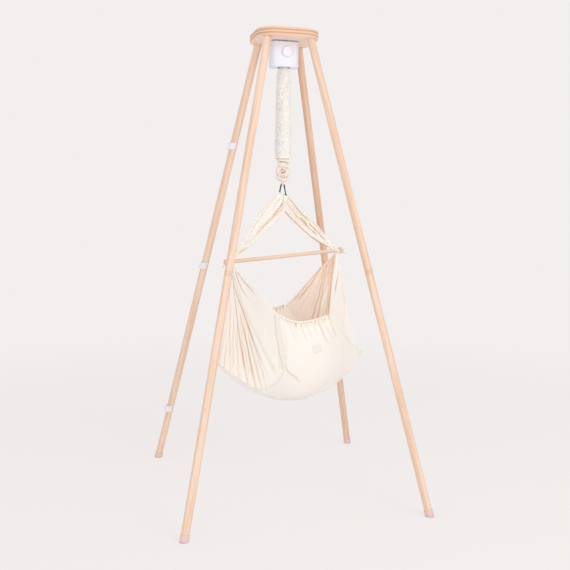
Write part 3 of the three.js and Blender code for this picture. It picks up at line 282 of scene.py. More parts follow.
class ShaderSheet(Sheet):
    """A material's node tree with one Principled shader."""

    def __init__(self, name: str) -> None:
        """Starts an empty material.

        Args:
            name: Name of the material.
        """
        self.material = bpy.data.materials.new(name)
        self.material.use_nodes = True
        super().__init__(self.material.node_tree)
        self.tree.nodes.clear()
        self.shader = self.node("ShaderNodeBsdfPrincipled")
        self.output = self.node("ShaderNodeOutputMaterial", inputs={"Surface": self.shader.outputs[0]})

    def place(self, source: str = "Object") -> Socket:
        """The coordinates of the shaded point on the object or on its UV map."""
        return self.node("ShaderNodeTexCoord").outputs[source]

    def mapped(self, scale: Triple, turn: Triple = (0.0, 0.0, 0.0), source: str = "Object") -> Socket:
        """Turns the coordinates and then stretches them.

        Args:
            scale: Stretch along the three turned directions.
            turn: Turn about X, Y and Z, in radians.
            source: Which coordinates are read.

        Returns:
            The stretched coordinates.
        """
        turned = self.node("ShaderNodeMapping", inputs={"Vector": self.place(source), "Rotation": turn})
        return self.node("ShaderNodeMapping", inputs={"Vector": turned.outputs[0], "Scale": scale}).outputs[0]

    def noise(self, where: Socket, scale: float, detail: float = 2.0) -> Value:
        """A noise value between 0 and 1."""
        node = self.node("ShaderNodeTexNoise", inputs={"Vector": where, "Scale": scale, "Detail": detail})
        return Value(self, node.outputs["Fac"])

    def cloud(self, scale: float, detail: float) -> Value:
        """A noise value between 0 and 1 that is the same in every direction."""
        return self.noise(self.mapped((1, 1, 1)), scale, detail)

    def parts(self, vector: Socket) -> list[Value]:
        """Splits a vector into its three numbers."""
        node = self.node("ShaderNodeSeparateXYZ", inputs={0: vector})
        return [Value(self, socket) for socket in node.outputs]

    def attribute(self, name: str) -> Value:
        """Reads a value that the mesh stores at its points."""
        return Value(self, self.node("ShaderNodeAttribute", {"attribute_name": name}).outputs["Fac"])

    def mix(self, share: Value | float, first: object, second: object) -> Socket:
        """Blends two colours.

        Args:
            share: Share of the second colour.
            first: The first colour.
            second: The second colour.

        Returns:
            The blend.
        """
        node = self.node("ShaderNodeMix", {"data_type": "RGBA"}, {
            "Factor_Float": share, "A_Color": first, "B_Color": second,
        })
        return next(socket for socket in node.outputs if socket.identifier == "Result_Color")

    def bump(self, height: Value, distance: float, strength: float = 1.0) -> Socket:
        """Turns a height into a surface normal."""
        inputs = {"Height": height, "Distance": distance, "Strength": strength}
        return self.node("ShaderNodeBump", inputs=inputs).outputs[0]

    def finish(self, **sockets: object) -> Material:
        """Feeds the shader.

        Args:
            sockets: The shader's sockets, with underscores for the blanks in their names.

        Returns:
            The material.
        """
        for name, value in sockets.items():
            self.feed(self.shader.inputs[name.replace("_", " ").title().replace("Ior", "IOR")], value)
        return self.material


@dataclass(frozen=True)
class WoodFinish:
    """Oiled light wood with its grain along one direction."""

    name: str
    along: Triple
    light: Colour = srgb(237, 209, 188)
    dark: Colour = srgb(225, 191, 166)
    fleck: Colour = srgb(206, 164, 134)
    joint: float = -1.0
    joint_reach: float = 0.007

    def build(self) -> Material:
        """Makes the material.

        Returns:
            The material.
        """
        sheet = ShaderSheet(self.name)
        turn = tuple(Vector(self.along).rotation_difference(Vector((0, 0, 1))).to_euler("XYZ"))
        streak = sheet.noise(sheet.mapped((34, 34, 1.6), turn), 1.0, 3.0)
        fibre = sheet.noise(sheet.mapped((520, 520, 9), turn), 1.0, 2.0)
        dash = sheet.noise(sheet.mapped((620, 620, 95), turn), 1.0, 1.0).between(0.62, 0.72)
        ring = ((streak * 26.0).sine() * 0.5 + 0.5) * 0.55 + fibre * 0.45
        base = sheet.mix(ring.between(0.2, 0.95), self.light, self.dark)
        base = sheet.mix(dash * 0.4, base, self.fleck)
        axis = Vector(self.along).normalized()
        x, y, z = sheet.parts(sheet.place())
        level = (x * axis.x + y * axis.y + z * axis.z - self.joint).size()
        line = 1.0 - (level - self.joint_reach).size().between(0.0003, 0.0012)
        return sheet.finish(
            base_color=sheet.mix(line * 0.75, base, self.fleck),
            roughness=fibre * 0.16 + 0.46,
            normal=sheet.bump(fibre * 0.7 + dash * -0.5 + line * -2.0, 0.0003),
        )


@dataclass(frozen=True)
class PlyFinish:
    """Plywood: a veneer on the flat faces and the plies' stripes round the edge."""

    name: str
    bottom: float
    thickness: float
    plies: int = 5
    veneer: Colour = srgb(250, 228, 214)
    veneer_dark: Colour = srgb(240, 212, 196)
    edge_light: Colour = srgb(234, 200, 174)
    edge_dark: Colour = srgb(204, 152, 114)

    def build(self) -> Material:
        """Makes the material.

        Returns:
            The material.
        """
        sheet = ShaderSheet(self.name)
        long_grain = sheet.noise(sheet.mapped((3.0, 42, 42)), 1.0, 3.0)
        fibre = sheet.noise(sheet.mapped((14, 480, 480)), 1.0, 2.0)
        figure = (long_grain * 30.0).sine() * 0.3 + fibre * 0.5 + 0.2
        face = sheet.mix(figure.between(0.1, 0.9), self.veneer, self.veneer_dark)
        height = sheet.parts(sheet.place())[2]
        waver = sheet.noise(sheet.mapped((9, 9, 1)), 1.0) * 0.0016
        level = (height + waver - self.bottom) * (math.pi * self.plies / self.thickness)
        stripe = level.sine().between(-0.35, 0.35)
        speck = sheet.noise(sheet.mapped((420, 420, 900)), 1.0, 2.0)
        edge = sheet.mix(stripe * 0.8 + speck * 0.2, self.edge_dark, self.edge_light)
        normal = sheet.parts(sheet.node("ShaderNodeNewGeometry").outputs["Normal"])[2]
        flat = normal.size().between(0.6, 0.85)
        return sheet.finish(
            base_color=sheet.mix(flat, edge, face),
            roughness=fibre * 0.15 + 0.5,
            normal=sheet.bump(fibre + stripe * 0.3, 0.0003),
        )


class Weave(Enum):
    """How a cloth is woven."""

    PLAIN = "plain"
    RIB = "rib"
    TOWELLING = "towelling"


@dataclass(frozen=True)
class ClothFinish:
    """Cloth with a weave that follows the piece's UV map, with painted shade down in its folds.

    Its inner face has a painted glow, an emission that stands in for the light that comes through from
    outside.
    """

    name: str
    light: Colour
    # Colour of the painted shade in folds and creases.
    fold: Colour
    weave: Weave = Weave.PLAIN
    thread: float = 0.0009
    relief: float = 0.00025
    fold_share: float = 0.75
    glow: float = 0.25
    # Colour of the painted glow that the inner face emits.
    through: Colour = (0.0, 0.0, 0.0, 1.0)

    def threads(self, sheet: ShaderSheet) -> Value:
        """The height of the threads at the shaded point.

        Args:
            sheet: The material's sheet.

        Returns:
            The height, about -1 to 1.
        """
        across, along, _ = sheet.parts(sheet.place("UV"))
        pace = math.tau / self.thread
        if self.weave is Weave.RIB:
            return (along * pace).sine() * 0.6 + (across * (pace * 2.0)).sine() * 0.3
        if self.weave is Weave.TOWELLING:
            return sheet.cloud(1.6 / self.thread, 2.0)
        return (across * pace).sine() * (along * pace).sine()

    def build(self) -> Material:
        """Makes the material.

        Returns:
            The material.
        """
        sheet = ShaderSheet(self.name)
        threads = self.threads(sheet)
        slub = sheet.noise(sheet.mapped((40, 900, 1), source="UV"), 1.0, 2.0).between(0.55, 0.8)
        cloud = sheet.cloud(9.0, 3.0)
        crumple = sheet.cloud(55.0, 3.0)
        # Painted shade: the fold attribute blends the colour towards the fold colour.
        depth = sheet.attribute("fold").between(0.0, 1.0) * self.fold_share
        base = sheet.mix(depth, self.light, self.fold)
        base = sheet.mix((cloud * 0.5 + slub * 0.35) * 0.12, base, self.fold)
        return sheet.finish(
            base_color=base,
            roughness=cloud * 0.12 + 0.8,
            normal=sheet.bump(threads * 0.5 + slub * 0.3 + crumple * 1.4, self.relief),
            sheen_weight=0.15,
            sheen_roughness=0.5,
            subsurface_weight=self.glow,
            subsurface_scale=0.006,
            # Painted light: the inner face glows with the through colour.
            emission_color=sheet.mix(sheet.attribute("inner"), (0.0, 0.0, 0.0, 1.0), self.through),
            emission_strength=1.0,
        )


@dataclass(frozen=True)
class PlasticFinish:
    """Moulded plastic with a fine spark-eroded grain."""

    name: str
    colour: Colour
    worn: Colour
    roughness: float = 0.34

    def build(self) -> Material:
        """Makes the material.

        Returns:
            The material.
        """
        sheet = ShaderSheet(self.name)
        grain = sheet.cloud(1500.0, 1.0)
        cloud = sheet.cloud(22.0, 3.0)
        return sheet.finish(
            base_color=sheet.mix(cloud * 0.3, self.colour, self.worn),
            roughness=grain * 0.08 + cloud * 0.08 + self.roughness - 0.08,
            normal=sheet.bump(grain, 0.00008),
        )


@dataclass(frozen=True)
class RubberFinish:
    """Soft milky rubber, of a darker, bluer colour near the floor."""

    name: str
    colour: Colour
    floor_tint: Colour

    def build(self) -> Material:
        """Makes the material.

        Returns:
            The material.
        """
        sheet = ShaderSheet(self.name)
        height = sheet.parts(sheet.place())[2]
        cloud = sheet.cloud(70.0, 3.0)
        # Blends towards the second colour within 12 mm of the floor.
        near_floor = (1.0 - height.between(0.0, 0.012)) * 0.8 + cloud * 0.2
        return sheet.finish(
            base_color=sheet.mix(near_floor, self.colour, self.floor_tint),
            roughness=cloud * 0.2 + 0.36,
            normal=sheet.bump(cloud, 0.0003),
            subsurface_weight=0.25,
            subsurface_scale=0.004,
        )


@dataclass(frozen=True)
class MetalFinish:
    """Drawn or turned metal with fine scratches and duller patches."""

    name: str
    colour: Colour
    tarnish: Colour
    roughness: float = 0.3

    def build(self) -> Material:
        """Makes the material.

        Returns:
            The material.
        """
        sheet = ShaderSheet(self.name)
        scratch = sheet.noise(sheet.mapped((300, 2600, 500)), 1.0, 2.0)
        patch = sheet.cloud(90.0, 3.0)
        return sheet.finish(
            base_color=sheet.mix(patch.between(0.35, 0.8) * 0.6, self.colour, self.tarnish),
            roughness=scratch * 0.14 + patch * 0.12 + self.roughness - 0.1,
            normal=sheet.bump(scratch, 0.00006),
            metallic=1.0,
        )


@dataclass(frozen=True)
class CircuitFinish:
    """A circuit board's lacquer with its tracks under it."""

    name: str
    board: Colour = srgb(38, 92, 60)
    track: Colour = srgb(66, 128, 84)

    def build(self) -> Material:
        """Makes the material.

        Returns:
            The material.
        """
        sheet = ShaderSheet(self.name)
        across, _, up = sheet.parts(sheet.place())
        lines = (across * 2600.0).sine() * (up * 1900.0).sine()
        mask = lines.between(0.1, 0.25)
        return sheet.finish(
            base_color=sheet.mix(mask, self.board, self.track),
            roughness=mask * 0.1 + 0.35,
            normal=sheet.bump(mask, 0.00005),
        )


# Meshes

TINY = 1e-12
MERGE_WITHIN = 1e-6
GATE_ROOM = 0.0055
LAST_FRAME = 20


def length_of(vectors: Array) -> Array:
    """Lengths of vectors, kept as a last direction of one number."""
    return np.linalg.norm(vectors, axis=-1, keepdims=True)


def unit(vectors: Array) -> Array:
    """Vectors of length 1 with the same directions."""
    return vectors / np.maximum(length_of(vectors), TINY)


def column(low: float, high: float, count: int) -> Array:
    """Even steps as one column."""
    return np.linspace(low, high, count)[:, None]


def row(low: float, high: float, count: int) -> Array:
    """Even steps as one row."""
    return np.linspace(low, high, count)[None, :]


def full_turn(around: int) -> Array:
    """Angles of the points of a ring, which starts and ends at one of them."""
    return np.linspace(0.0, math.tau, around + 1)


def run_of(path: Array) -> Array:
    """Distances along a path from its start."""
    return np.insert(np.cumsum(length_of(np.diff(path, axis=0))), 0, 0.0)


def stacked(*parts: Array | float) -> Array:
    """Points from their three numbers, which broadcast together."""
    return np.stack(np.broadcast_arrays(*parts), axis=-1)


def arc_lengths(grid: Array, axis: int) -> Array:
    """Distances along one direction of a grid of points, counted from its middle.

    Args:
        grid: The points.
        axis: Which direction, 0 or 1.

    Returns:
        The distance of each point.
    """
    steps = np.linalg.norm(np.diff(grid, axis=axis), axis=2)
    total = np.insert(np.cumsum(steps, axis=axis), 0, 0.0, axis=axis)
    return total - np.take(total, [total.shape[axis] // 2], axis=axis)


def grid_area(grid: Array) -> float:
    """Area of the surface through a grid of points.

    Args:
        grid: The points.

    Returns:
        The area.
    """
    first = np.cross(grid[1:, :-1] - grid[:-1, :-1], grid[:-1, 1:] - grid[:-1, :-1])
    second = np.cross(grid[1:, :-1] - grid[1:, 1:], grid[:-1, 1:] - grid[1:, 1:])
    return float((length_of(first).sum() + length_of(second).sum()) / 2)


def grid_normals(grid: Array) -> Array:
    """Unit normals of the surface through a grid of points."""
    return unit(np.cross(np.gradient(grid, axis=0), np.gradient(grid, axis=1)))


def linked(thing: Piece) -> Piece:
    """Puts an object into the scene."""
    bpy.context.scene.collection.objects.link(thing)
    return thing


def new_object(name: str, mesh: Mesh) -> Piece:
    """Puts a mesh into the scene as a smooth piece at the origin."""
    mesh.polygons.foreach_set("use_smooth", [True] * len(mesh.polygons))
    return linked(bpy.data.objects.new(name, mesh))


def surface_mesh(name: str, grid: Array, fold: Array | None = None, wrap: bool = False) -> Mesh:
    """Makes a mesh of four-sided faces from a grid of points.

    Args:
        name: Name of the mesh.
        grid: Points, row by row.
        fold: Depth in the folds at each point, which the cloth paints as shade, or None for a smooth piece.
        wrap: Whether each row closes on itself; the rows then start and end at the same point.

    Returns:
        The mesh, with its UV map in metres.
    """
    uv = np.stack([arc_lengths(grid, 0), arc_lengths(grid, 1)], axis=2)
    rows, columns = grid.shape[:2]
    fold = np.zeros((rows, columns)) if fold is None else fold
    index = np.arange(rows * columns).reshape(rows, columns)
    if wrap:
        index[:, -1] = index[:, 0]
    mesh = bpy.data.meshes.new(name)
    mesh.from_pydata(grid.reshape(-1, 3).tolist(), [], cell_corners(index).reshape(-1, 4).tolist())
    # The fold attribute carries the painted fold shade that the cloth material reads.
    depth = mesh.attributes.new("fold", "FLOAT", "POINT")
    depth.data.foreach_set("value", fold.ravel().astype(np.float32))
    layer = mesh.uv_layers.new(name="cloth")
    layer.uv.foreach_set("vector", cell_corners(uv).ravel().astype(np.float32))
    return mesh


def cell_corners(values: Array) -> Array:
    """The values at the four corners of each cell of a grid, corner by corner."""
    return np.stack([values[:-1, :-1], values[1:, :-1], values[1:, 1:], values[:-1, 1:]], axis=2)


def evaluated(piece: Piece) -> Mesh:
    """The mesh that a piece has after its modifiers."""
    bpy.context.view_layer.update()
    return bpy.data.meshes.new_from_object(piece.evaluated_get(bpy.context.evaluated_depsgraph_get()))


def as_plain(piece: Piece) -> Piece:
    """Applies a piece's modifiers, so that a plain mesh is left.

    Args:
        piece: The piece.

    Returns:
        The same piece.
    """
    ready = evaluated(piece)
    piece.modifiers.clear()
    piece.data = ready
    return piece


def mend(mesh: Mesh) -> None:
    """Joins points that lie on each other, drops loose ones and turns the faces outwards.

    Args:
        mesh: The mesh, which is changed in place.
    """
    shell = bmesh.new()
    shell.from_mesh(mesh)
    bmesh.ops.remove_doubles(shell, verts=shell.verts, dist=MERGE_WITHIN)
    loose = [point for point in shell.verts if not point.link_faces]
    bmesh.ops.delete(shell, geom=loose, context="VERTS")
    bmesh.ops.recalc_face_normals(shell, faces=shell.faces)
    shell.to_mesh(mesh)
    shell.free()


def thick_sheet(name: str, grid: Array, fold: Array | None, thickness: float, wrap: bool = False) -> Piece:
    """Makes a sheet of cloth with two faces and a closed rim.

    Args:
        name: Name of the piece.
        grid: Points of its middle surface.
        fold: Depth in the folds at each point, which the cloth paints as shade.
        thickness: Thickness of the cloth.
        wrap: Whether each row closes on itself.

    Returns:
        The piece.
    """
    piece = new_object(name, surface_mesh(name, grid, fold, wrap))
    mend(piece.data)
    wall = piece.modifiers.new("wall", "SOLIDIFY")
    wall.thickness = thickness
    wall.offset = 0.0
    as_plain(piece)
    mark_inner(piece.data)
    return piece


def mark_inner(mesh: Mesh) -> None:
    """Marks the points of a sheet's face that is nearer to the middle of the cradle, where the cloth gets its
    painted glow.

    Args:
        mesh: The mesh, of whose points each face has one half.
    """
    places = np.array([point.co for point in mesh.vertices])
    centre = CradleShape().place(CRADLE_MIDDLE)
    far = np.linalg.norm(places - centre, axis=1).reshape(2, -1)
    inner = np.stack([far[0] < far[1], far[1] < far[0]])
    mark = mesh.attributes.new("inner", "FLOAT", "POINT")
    mark.data.foreach_set("value", inner.ravel().astype(np.float32))


def capped_loft(name: str, rings: Array, fold: Array | None = None) -> Piece:
    """Makes a closed piece from rings of points, each of which starts and ends at one point.

    Args:
        name: Name of the piece.
        rings: Points, ring by ring.
        fold: Depth in the folds at each point, which the cloth paints as shade.

    Returns:
        The piece, closed at each end.
    """
    centres = rings[:, :-1].mean(axis=1, keepdims=True)
    start, end = (np.broadcast_to(centre, rings[:1].shape) for centre in (centres[:1], centres[-1:]))
    grid = np.concatenate([start, rings, end])
    if fold is not None:
        fold = np.concatenate([fold[:1], fold, fold[-1:]])
    piece = new_object(name, surface_mesh(name, grid, fold, wrap=True))
    mend(piece.data)
    return piece


def tube_rings(path: Array, up: Array, wide: Array, high: Array, around: int) -> Array:
    """Rings round a path.

    Args:
        path: Points of the path.
        up: A direction that never lies along the path.
        wide: Half width across, at each point or at each point and angle.
        high: Half height, likewise.
        around: How many points go round.

    Returns:
        The rings, each of which starts and ends at one point.
    """
    along = unit(np.gradient(path, axis=0))
    across = unit(np.cross(np.broadcast_to(up, along.shape), along))
    upright = np.cross(along, across)
    angle = full_turn(around)
    wide = wide[:, None] if wide.ndim == 1 else wide
    high = high[:, None] if high.ndim == 1 else high
    side = (wide * np.cos(angle))[..., None] * across[:, None, :]
    rise = (high * np.sin(angle))[..., None] * upright[:, None, :]
    return path[:, None, :] + side + rise


# Shapes of the cradle

CRADLE_MIDDLE = np.array([0.03, 0.0, -0.62])
RIGHTWARDS, BACKWARDS, UP = np.eye(3)


class Side(Enum):
    """An end of the cradle."""

    LEFT = "left"
    RIGHT = "right"


@dataclass(frozen=True)
class EndSizes:
    """Where an end of the cradle reaches, from the point where the straps hang."""

    sign: int
    mouth_x: float
    mouth_drop: float
    hip_x: float
    hip_drop: float
    belly_arc: float
    fan_bow: float
    seam_side: Triple
    seam_low: Triple


@dataclass
class CradleShape:
    """The surfaces of the cloth cradle, turned and tilted as it hangs."""

    hang_height: float = 1.243
    tilt: float = math.radians(4.1)
    turn: float = math.radians(13.0)
    bar_half_length: float = 0.286
    bar_drop: float = 0.248
    bar_radius: float = 0.008
    gather_scale: float = 0.06
    gather_x: float = 0.260
    gather_drop: float = 0.2648
    mouth_y: float = 0.190
    mouth_sag: float = 0.032
    belly_drop: float = 0.868
    belly_bulge: float = 0.008
    ends: dict[Side, EndSizes] = field(default_factory=lambda: {
        Side.LEFT: EndSizes(
            -1, 0.144, 0.458, 0.345, 0.662, math.radians(40.0), 0.0,
            (0.140, 0.194, 0.690), (0.208, 0.108, 0.772),
        ),
        Side.RIGHT: EndSizes(
            1, 0.085, 0.491, 0.354, 0.720, math.radians(68.0), 0.022,
            (0.165, 0.174, 0.588), (0.252, 0.102, 0.655),
        ),
    })

    def place(self, points: Array) -> Array:
        """Tilts, turns and lifts points from the cradle's own directions to the object's.

        Args:
            points: Points in the cradle's own directions.

        Returns:
            The points, as the cradle hangs.
        """
        x, y, z = points[..., 0], points[..., 1], points[..., 2]
        tilt_cos, tilt_sin = math.cos(self.tilt), math.sin(self.tilt)
        along, up = x * tilt_cos - z * tilt_sin, x * tilt_sin + z * tilt_cos
        turn_cos, turn_sin = math.cos(self.turn), math.sin(self.turn)
        turned = along * turn_cos - y * turn_sin, along * turn_sin + y * turn_cos
        return stacked(*turned, up + self.hang_height)

    def seam(self, side: Side, over: Array) -> Array:
        """Points of the seam between a fan and the pouch.

        Args:
            side: Which end.
            over: -1 at the front edge, 0 at the hip and 1 at the back edge.

        Returns:
            The points, on a smooth curve through seven places.
        """
        end = self.ends[side]
        half = np.array([
            (end.mouth_x, self.mouth_y, end.mouth_drop),
            end.seam_side,
            end.seam_low,
            (end.hip_x, 0.0, end.hip_drop),
        ]) * (end.sign, -1.0, -1.0)
        knots = np.concatenate([half, half[-2::-1] * (1.0, -1.0, 1.0)])
        knots = np.concatenate([2 * knots[:1] - knots[1:2], knots, 2 * knots[-1:] - knots[-2:-1]])
        place = np.clip((np.asarray(over, dtype=float) + 1.0) / 2.0, 0.0, 1.0) * (len(knots) - 3)
        start = np.minimum(place.astype(int), len(knots) - 4)
        share = (place - start)[..., None]
        before, first, second, after = (knots[start + i] for i in range(4))
        gaps = [np.sqrt(length_of(b - a)) for a, b in ((before, first), (first, second), (second, after))]
        leave = gaps[1] * (
            (first - before) / gaps[0] - (second - before) / (gaps[0] + gaps[1]) + (second - first) / gaps[1]
        )
        arrive = gaps[1] * (
            (second - first) / gaps[1] - (after - first) / (gaps[1] + gaps[2]) + (after - second) / gaps[2]
        )
        square = -3 * first + 3 * second - 2 * leave - arrive
        cube = 2 * first - 2 * second + leave + arrive
        return first + share * (leave + share * (square + share * cube))

    def middle(self, over: Array) -> Array:
        """Points of the cradle's middle section.

        Args:
            over: -1 at the front edge and 1 at the back one.

        Returns:
            The points, in the cradle's own directions.
        """
        angle = over * math.pi / 2.0
        edge = (self.ends[Side.LEFT].mouth_drop + self.ends[Side.RIGHT].mouth_drop) / 2.0 + self.mouth_sag
        bulge = self.belly_bulge * np.sin(2.0 * np.abs(angle))
        depth = np.abs(np.cos(angle)) ** 0.8
        return stacked(
            (self.seam(Side.LEFT, over)[..., 0] + self.seam(Side.RIGHT, over)[..., 0]) / 2.0,
            self.mouth_y * np.sign(angle) * np.abs(np.sin(angle)) ** 0.75 + np.sign(over) * bulge,
            -edge - (self.belly_drop - edge) * depth,
        )

    def pouch(self, along: Array, over: Array) -> Array:
        """Points of the smooth pouch.

        Args:
            along: -1 at the left seam and 1 at the right one.
            over: -1 at the front edge and 1 at the back one.

        Returns:
            The points, in the cradle's own directions.
        """
        along, over = np.broadcast_arrays(along, over)
        middle = self.middle(over)
        points = np.empty(along.shape + (3,))
        for side, here in ((Side.LEFT, along < 0), (Side.RIGHT, along >= 0)):
            arc = self.ends[side].belly_arc
            reach = np.sin(np.abs(along) * arc) / math.sin(arc)
            rise = (1.0 - np.cos(np.abs(along) * arc)) / (1.0 - math.cos(arc))
            whole = middle + (self.seam(side, over) - middle) * stacked(reach, rise, rise)
            points[here] = whole[here]
        return points

    def fan(self, side: Side, share: Array, over: Array) -> Pair:
        """Points of a smooth end fan.

        Args:
            side: Which end.
            share: 0 at the gathered top and 1 at the seam.
            over: -1 at the front edge and 1 at the back one.

        Returns:
            The points, and a direction out of the cradle at each.
        """
        share, over = np.broadcast_arrays(share, over)
        end = self.ends[side]
        seam = self.seam(side, over)
        top = stacked(
            end.sign * (self.gather_x + self.gather_scale * (np.abs(seam[..., 0]) - end.hip_x)),
            self.gather_scale * seam[..., 1],
            -self.gather_drop + self.gather_scale * (seam[..., 2] + end.mouth_drop),
        )
        angle = over * math.pi / 2.0
        outward = unit(stacked(end.sign * np.cos(angle) * 0.9, np.sin(angle), 0.0))
        points = top + (seam - top) * share[..., None]
        bow = end.fan_bow * np.sin(math.pi * np.clip(share, 0.0, 1.0) ** 1.8) * np.cos(angle)
        points[..., 0] -= end.sign * bow
        return points, outward


# Cloth pieces of the cradle


def ridges(phase: Array) -> Array:
    """Rounded ridges with sharp valleys between them, from -0.64 to 0.36."""
    return np.abs(np.cos(math.pi * phase)) - 0.64


def groove(distance: Array, width: float) -> Array:
    """A soft groove: -1 along its line, 0 away from it."""
    return -np.exp(-((distance / width) ** 2))


@dataclass(frozen=True)
class Crease:
    """A line on a cloth surface along which it is pressed in and given painted shade, by places in the
    surface's two directions.
    """

    places: tuple[tuple[float, float], ...]
    width: float
    depth: float
    # Strength of the painted shade along the crease.
    crease_shade: float
    fade_in: float = 0.05
    fade_out: float = 0.35

    def press(self, grid: Array, surface: Surface, size: Array | float) -> Pair:
        """How far each point of a grid is pressed in, and how much painted fold shade it gets.

        Args:
            grid: Points of the surface.
            surface: Gives the surface's points at two arrays of places.
            size: How much wider or narrower the crease is at each point.

        Returns:
            The height of each point, 0 or less, and its painted fold shade, 0 to 1.
        """
        knots = np.array(self.places)
        steps = np.linspace(0.0, len(knots) - 1.0, 12 * (len(knots) - 1) + 1)
        first, second = (np.interp(steps, np.arange(len(knots)), knots[:, i]) for i in range(2))
        line = surface(first, second)
        nearest = np.full(grid.shape[:2], 1.0)
        share = np.zeros(grid.shape[:2])
        for number, (start, end) in enumerate(zip(line[:-1], line[1:])):
            run = end - start
            along = np.clip((grid - start) @ run / max(float(run @ run), TINY), 0.0, 1.0)
            gap = length_of(grid - start - along[..., None] * run)[..., 0]
            nearer = gap < nearest
            nearest = np.where(nearer, gap, nearest)
            share = np.where(nearer, (number + along) / (len(line) - 1), share)
        ends = smooth_step(0.0, self.fade_in, share) * smooth_step(0.0, self.fade_out, 1.0 - share)
        profile = np.exp(-((nearest / (self.width * size)) ** 2)) * ends
        return -self.depth * profile * size, self.crease_shade * profile


def creases(parts_over: int, *rows: tuple[tuple[float, ...] | float, ...]) -> tuple[Crease, ...]:
    """Makes creases from rows of numbers.

    Args:
        parts_over: How many parts of the places' second direction make one; along the first, it is 1000.
        rows: Width and depth in millimetres with the painted shade and maybe two fades, and then the places,
            by twos.

    Returns:
        The creases.
    """
    return tuple(
        Crease(
            tuple((first / 1000, second / parts_over) for first, second in zip(places[::2], places[1::2])),
            width / 1000, depth / 1000, *looks,
        )
        for (width, depth, *looks), *places in rows
    )


def press_all(creases: Sequence[Crease], grid: Array, surface: Surface, size: Array | float) -> Pair:
    """Adds up the heights of several creases and takes the deepest of their painted fold shades.

    Args:
        creases: The creases.
        grid: Points of the surface.
        surface: Gives the surface's points at two arrays of places.
        size: How much wider or narrower the creases are at each point.

    Returns:
        The height of each point and its painted fold shade.
    """
    lift, fold = np.zeros(grid.shape[:2]), np.zeros(grid.shape[:2])
    for crease in creases:
        height, depth = crease.press(grid, surface, size)
        lift, fold = lift + height, np.maximum(fold, depth)
    return lift, fold


def outwards(points: Array, normals: Array) -> Array:
    """Turns normals so that they point away from the middle of the cradle."""
    away = np.sum(normals * (points - CRADLE_MIDDLE), axis=-1, keepdims=True)
    return normals * np.where(away < 0.0, -1.0, 1.0)


def paint(piece: Piece, material: Material) -> None:
    """Gives a piece one material."""
    piece.data.materials.clear()
    piece.data.materials.append(material)


def dress(piece: Piece, material: Material, body: str, replaced: Sequence[str] = ()) -> Piece:
    """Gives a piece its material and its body.

    Args:
        piece: The piece.
        material: Its finish.
        body: The CAD body that it rides on.
        replaced: CAD nodes that it stands for.

    Returns:
        The piece.
    """
    paint(piece, material)
    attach(piece, body)
    if replaced:
        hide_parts(*replaced)
    return piece


def hang_between(
    piece: Piece, material: Material, replaced: str
) -> Piece:
    """Dresses a piece that stretches between the spring's upper plug and the cradle.

    Args:
        piece: The piece.
        material: Its finish.
        replaced: The CAD node that it stands for.

    Returns:
        The piece.
    """
    paint(piece, material)
    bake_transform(piece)
    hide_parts(replaced)
    return piece


def swept(node: str, joint: str, steps: int = 5) -> list[Pair]:
    """Middle lines of a hinged CAD node between rest and its joint's limit.

    Args:
        node: The node.
        joint: The joint that it turns on.
        steps: How many places on its way are taken.

    Returns:
        The two ends of its middle line at each place.
    """
    hinge = next(row for row in frame["joints"] if row["name"] == joint)
    pivot = Vector(hinge["pos_m"])
    nose = max((point.co for point in frame["nodes"][node].data.vertices), key=lambda co: (co - pivot).length)
    turns = (math.radians(hinge["range_deg"][1]) * step / (steps - 1) for step in range(steps))
    arms = (Matrix.Rotation(turn, 3, Vector(hinge["axis"])) @ (nose - pivot) for turn in turns)
    return [(np.array(pivot), np.array(pivot + arm)) for arm in arms]


def drawn_in(rings: Array, lines: Sequence[Pair], room: float) -> Array:
    """Draws the rings of a loft in towards their middles where a moving part passes.

    Args:
        rings: Points, ring by ring.
        lines: Middle lines of the moving part on its way.
        room: How far from them the points stay.

    Returns:
        The points.
    """
    middles = rings.mean(axis=1, keepdims=True)
    kept = rings.copy()
    for share in np.linspace(0.06, 0.96, 16):
        close = np.zeros(kept.shape[:2], bool)
        for start, end in lines:
            along = end - start
            place = np.clip((kept - start) @ along / (along @ along), 0.0, 1.0)[..., None]
            close |= length_of(kept - start - place * along)[..., 0] < room
        kept[close] = (rings + (middles - rings) * share)[close]
    return kept


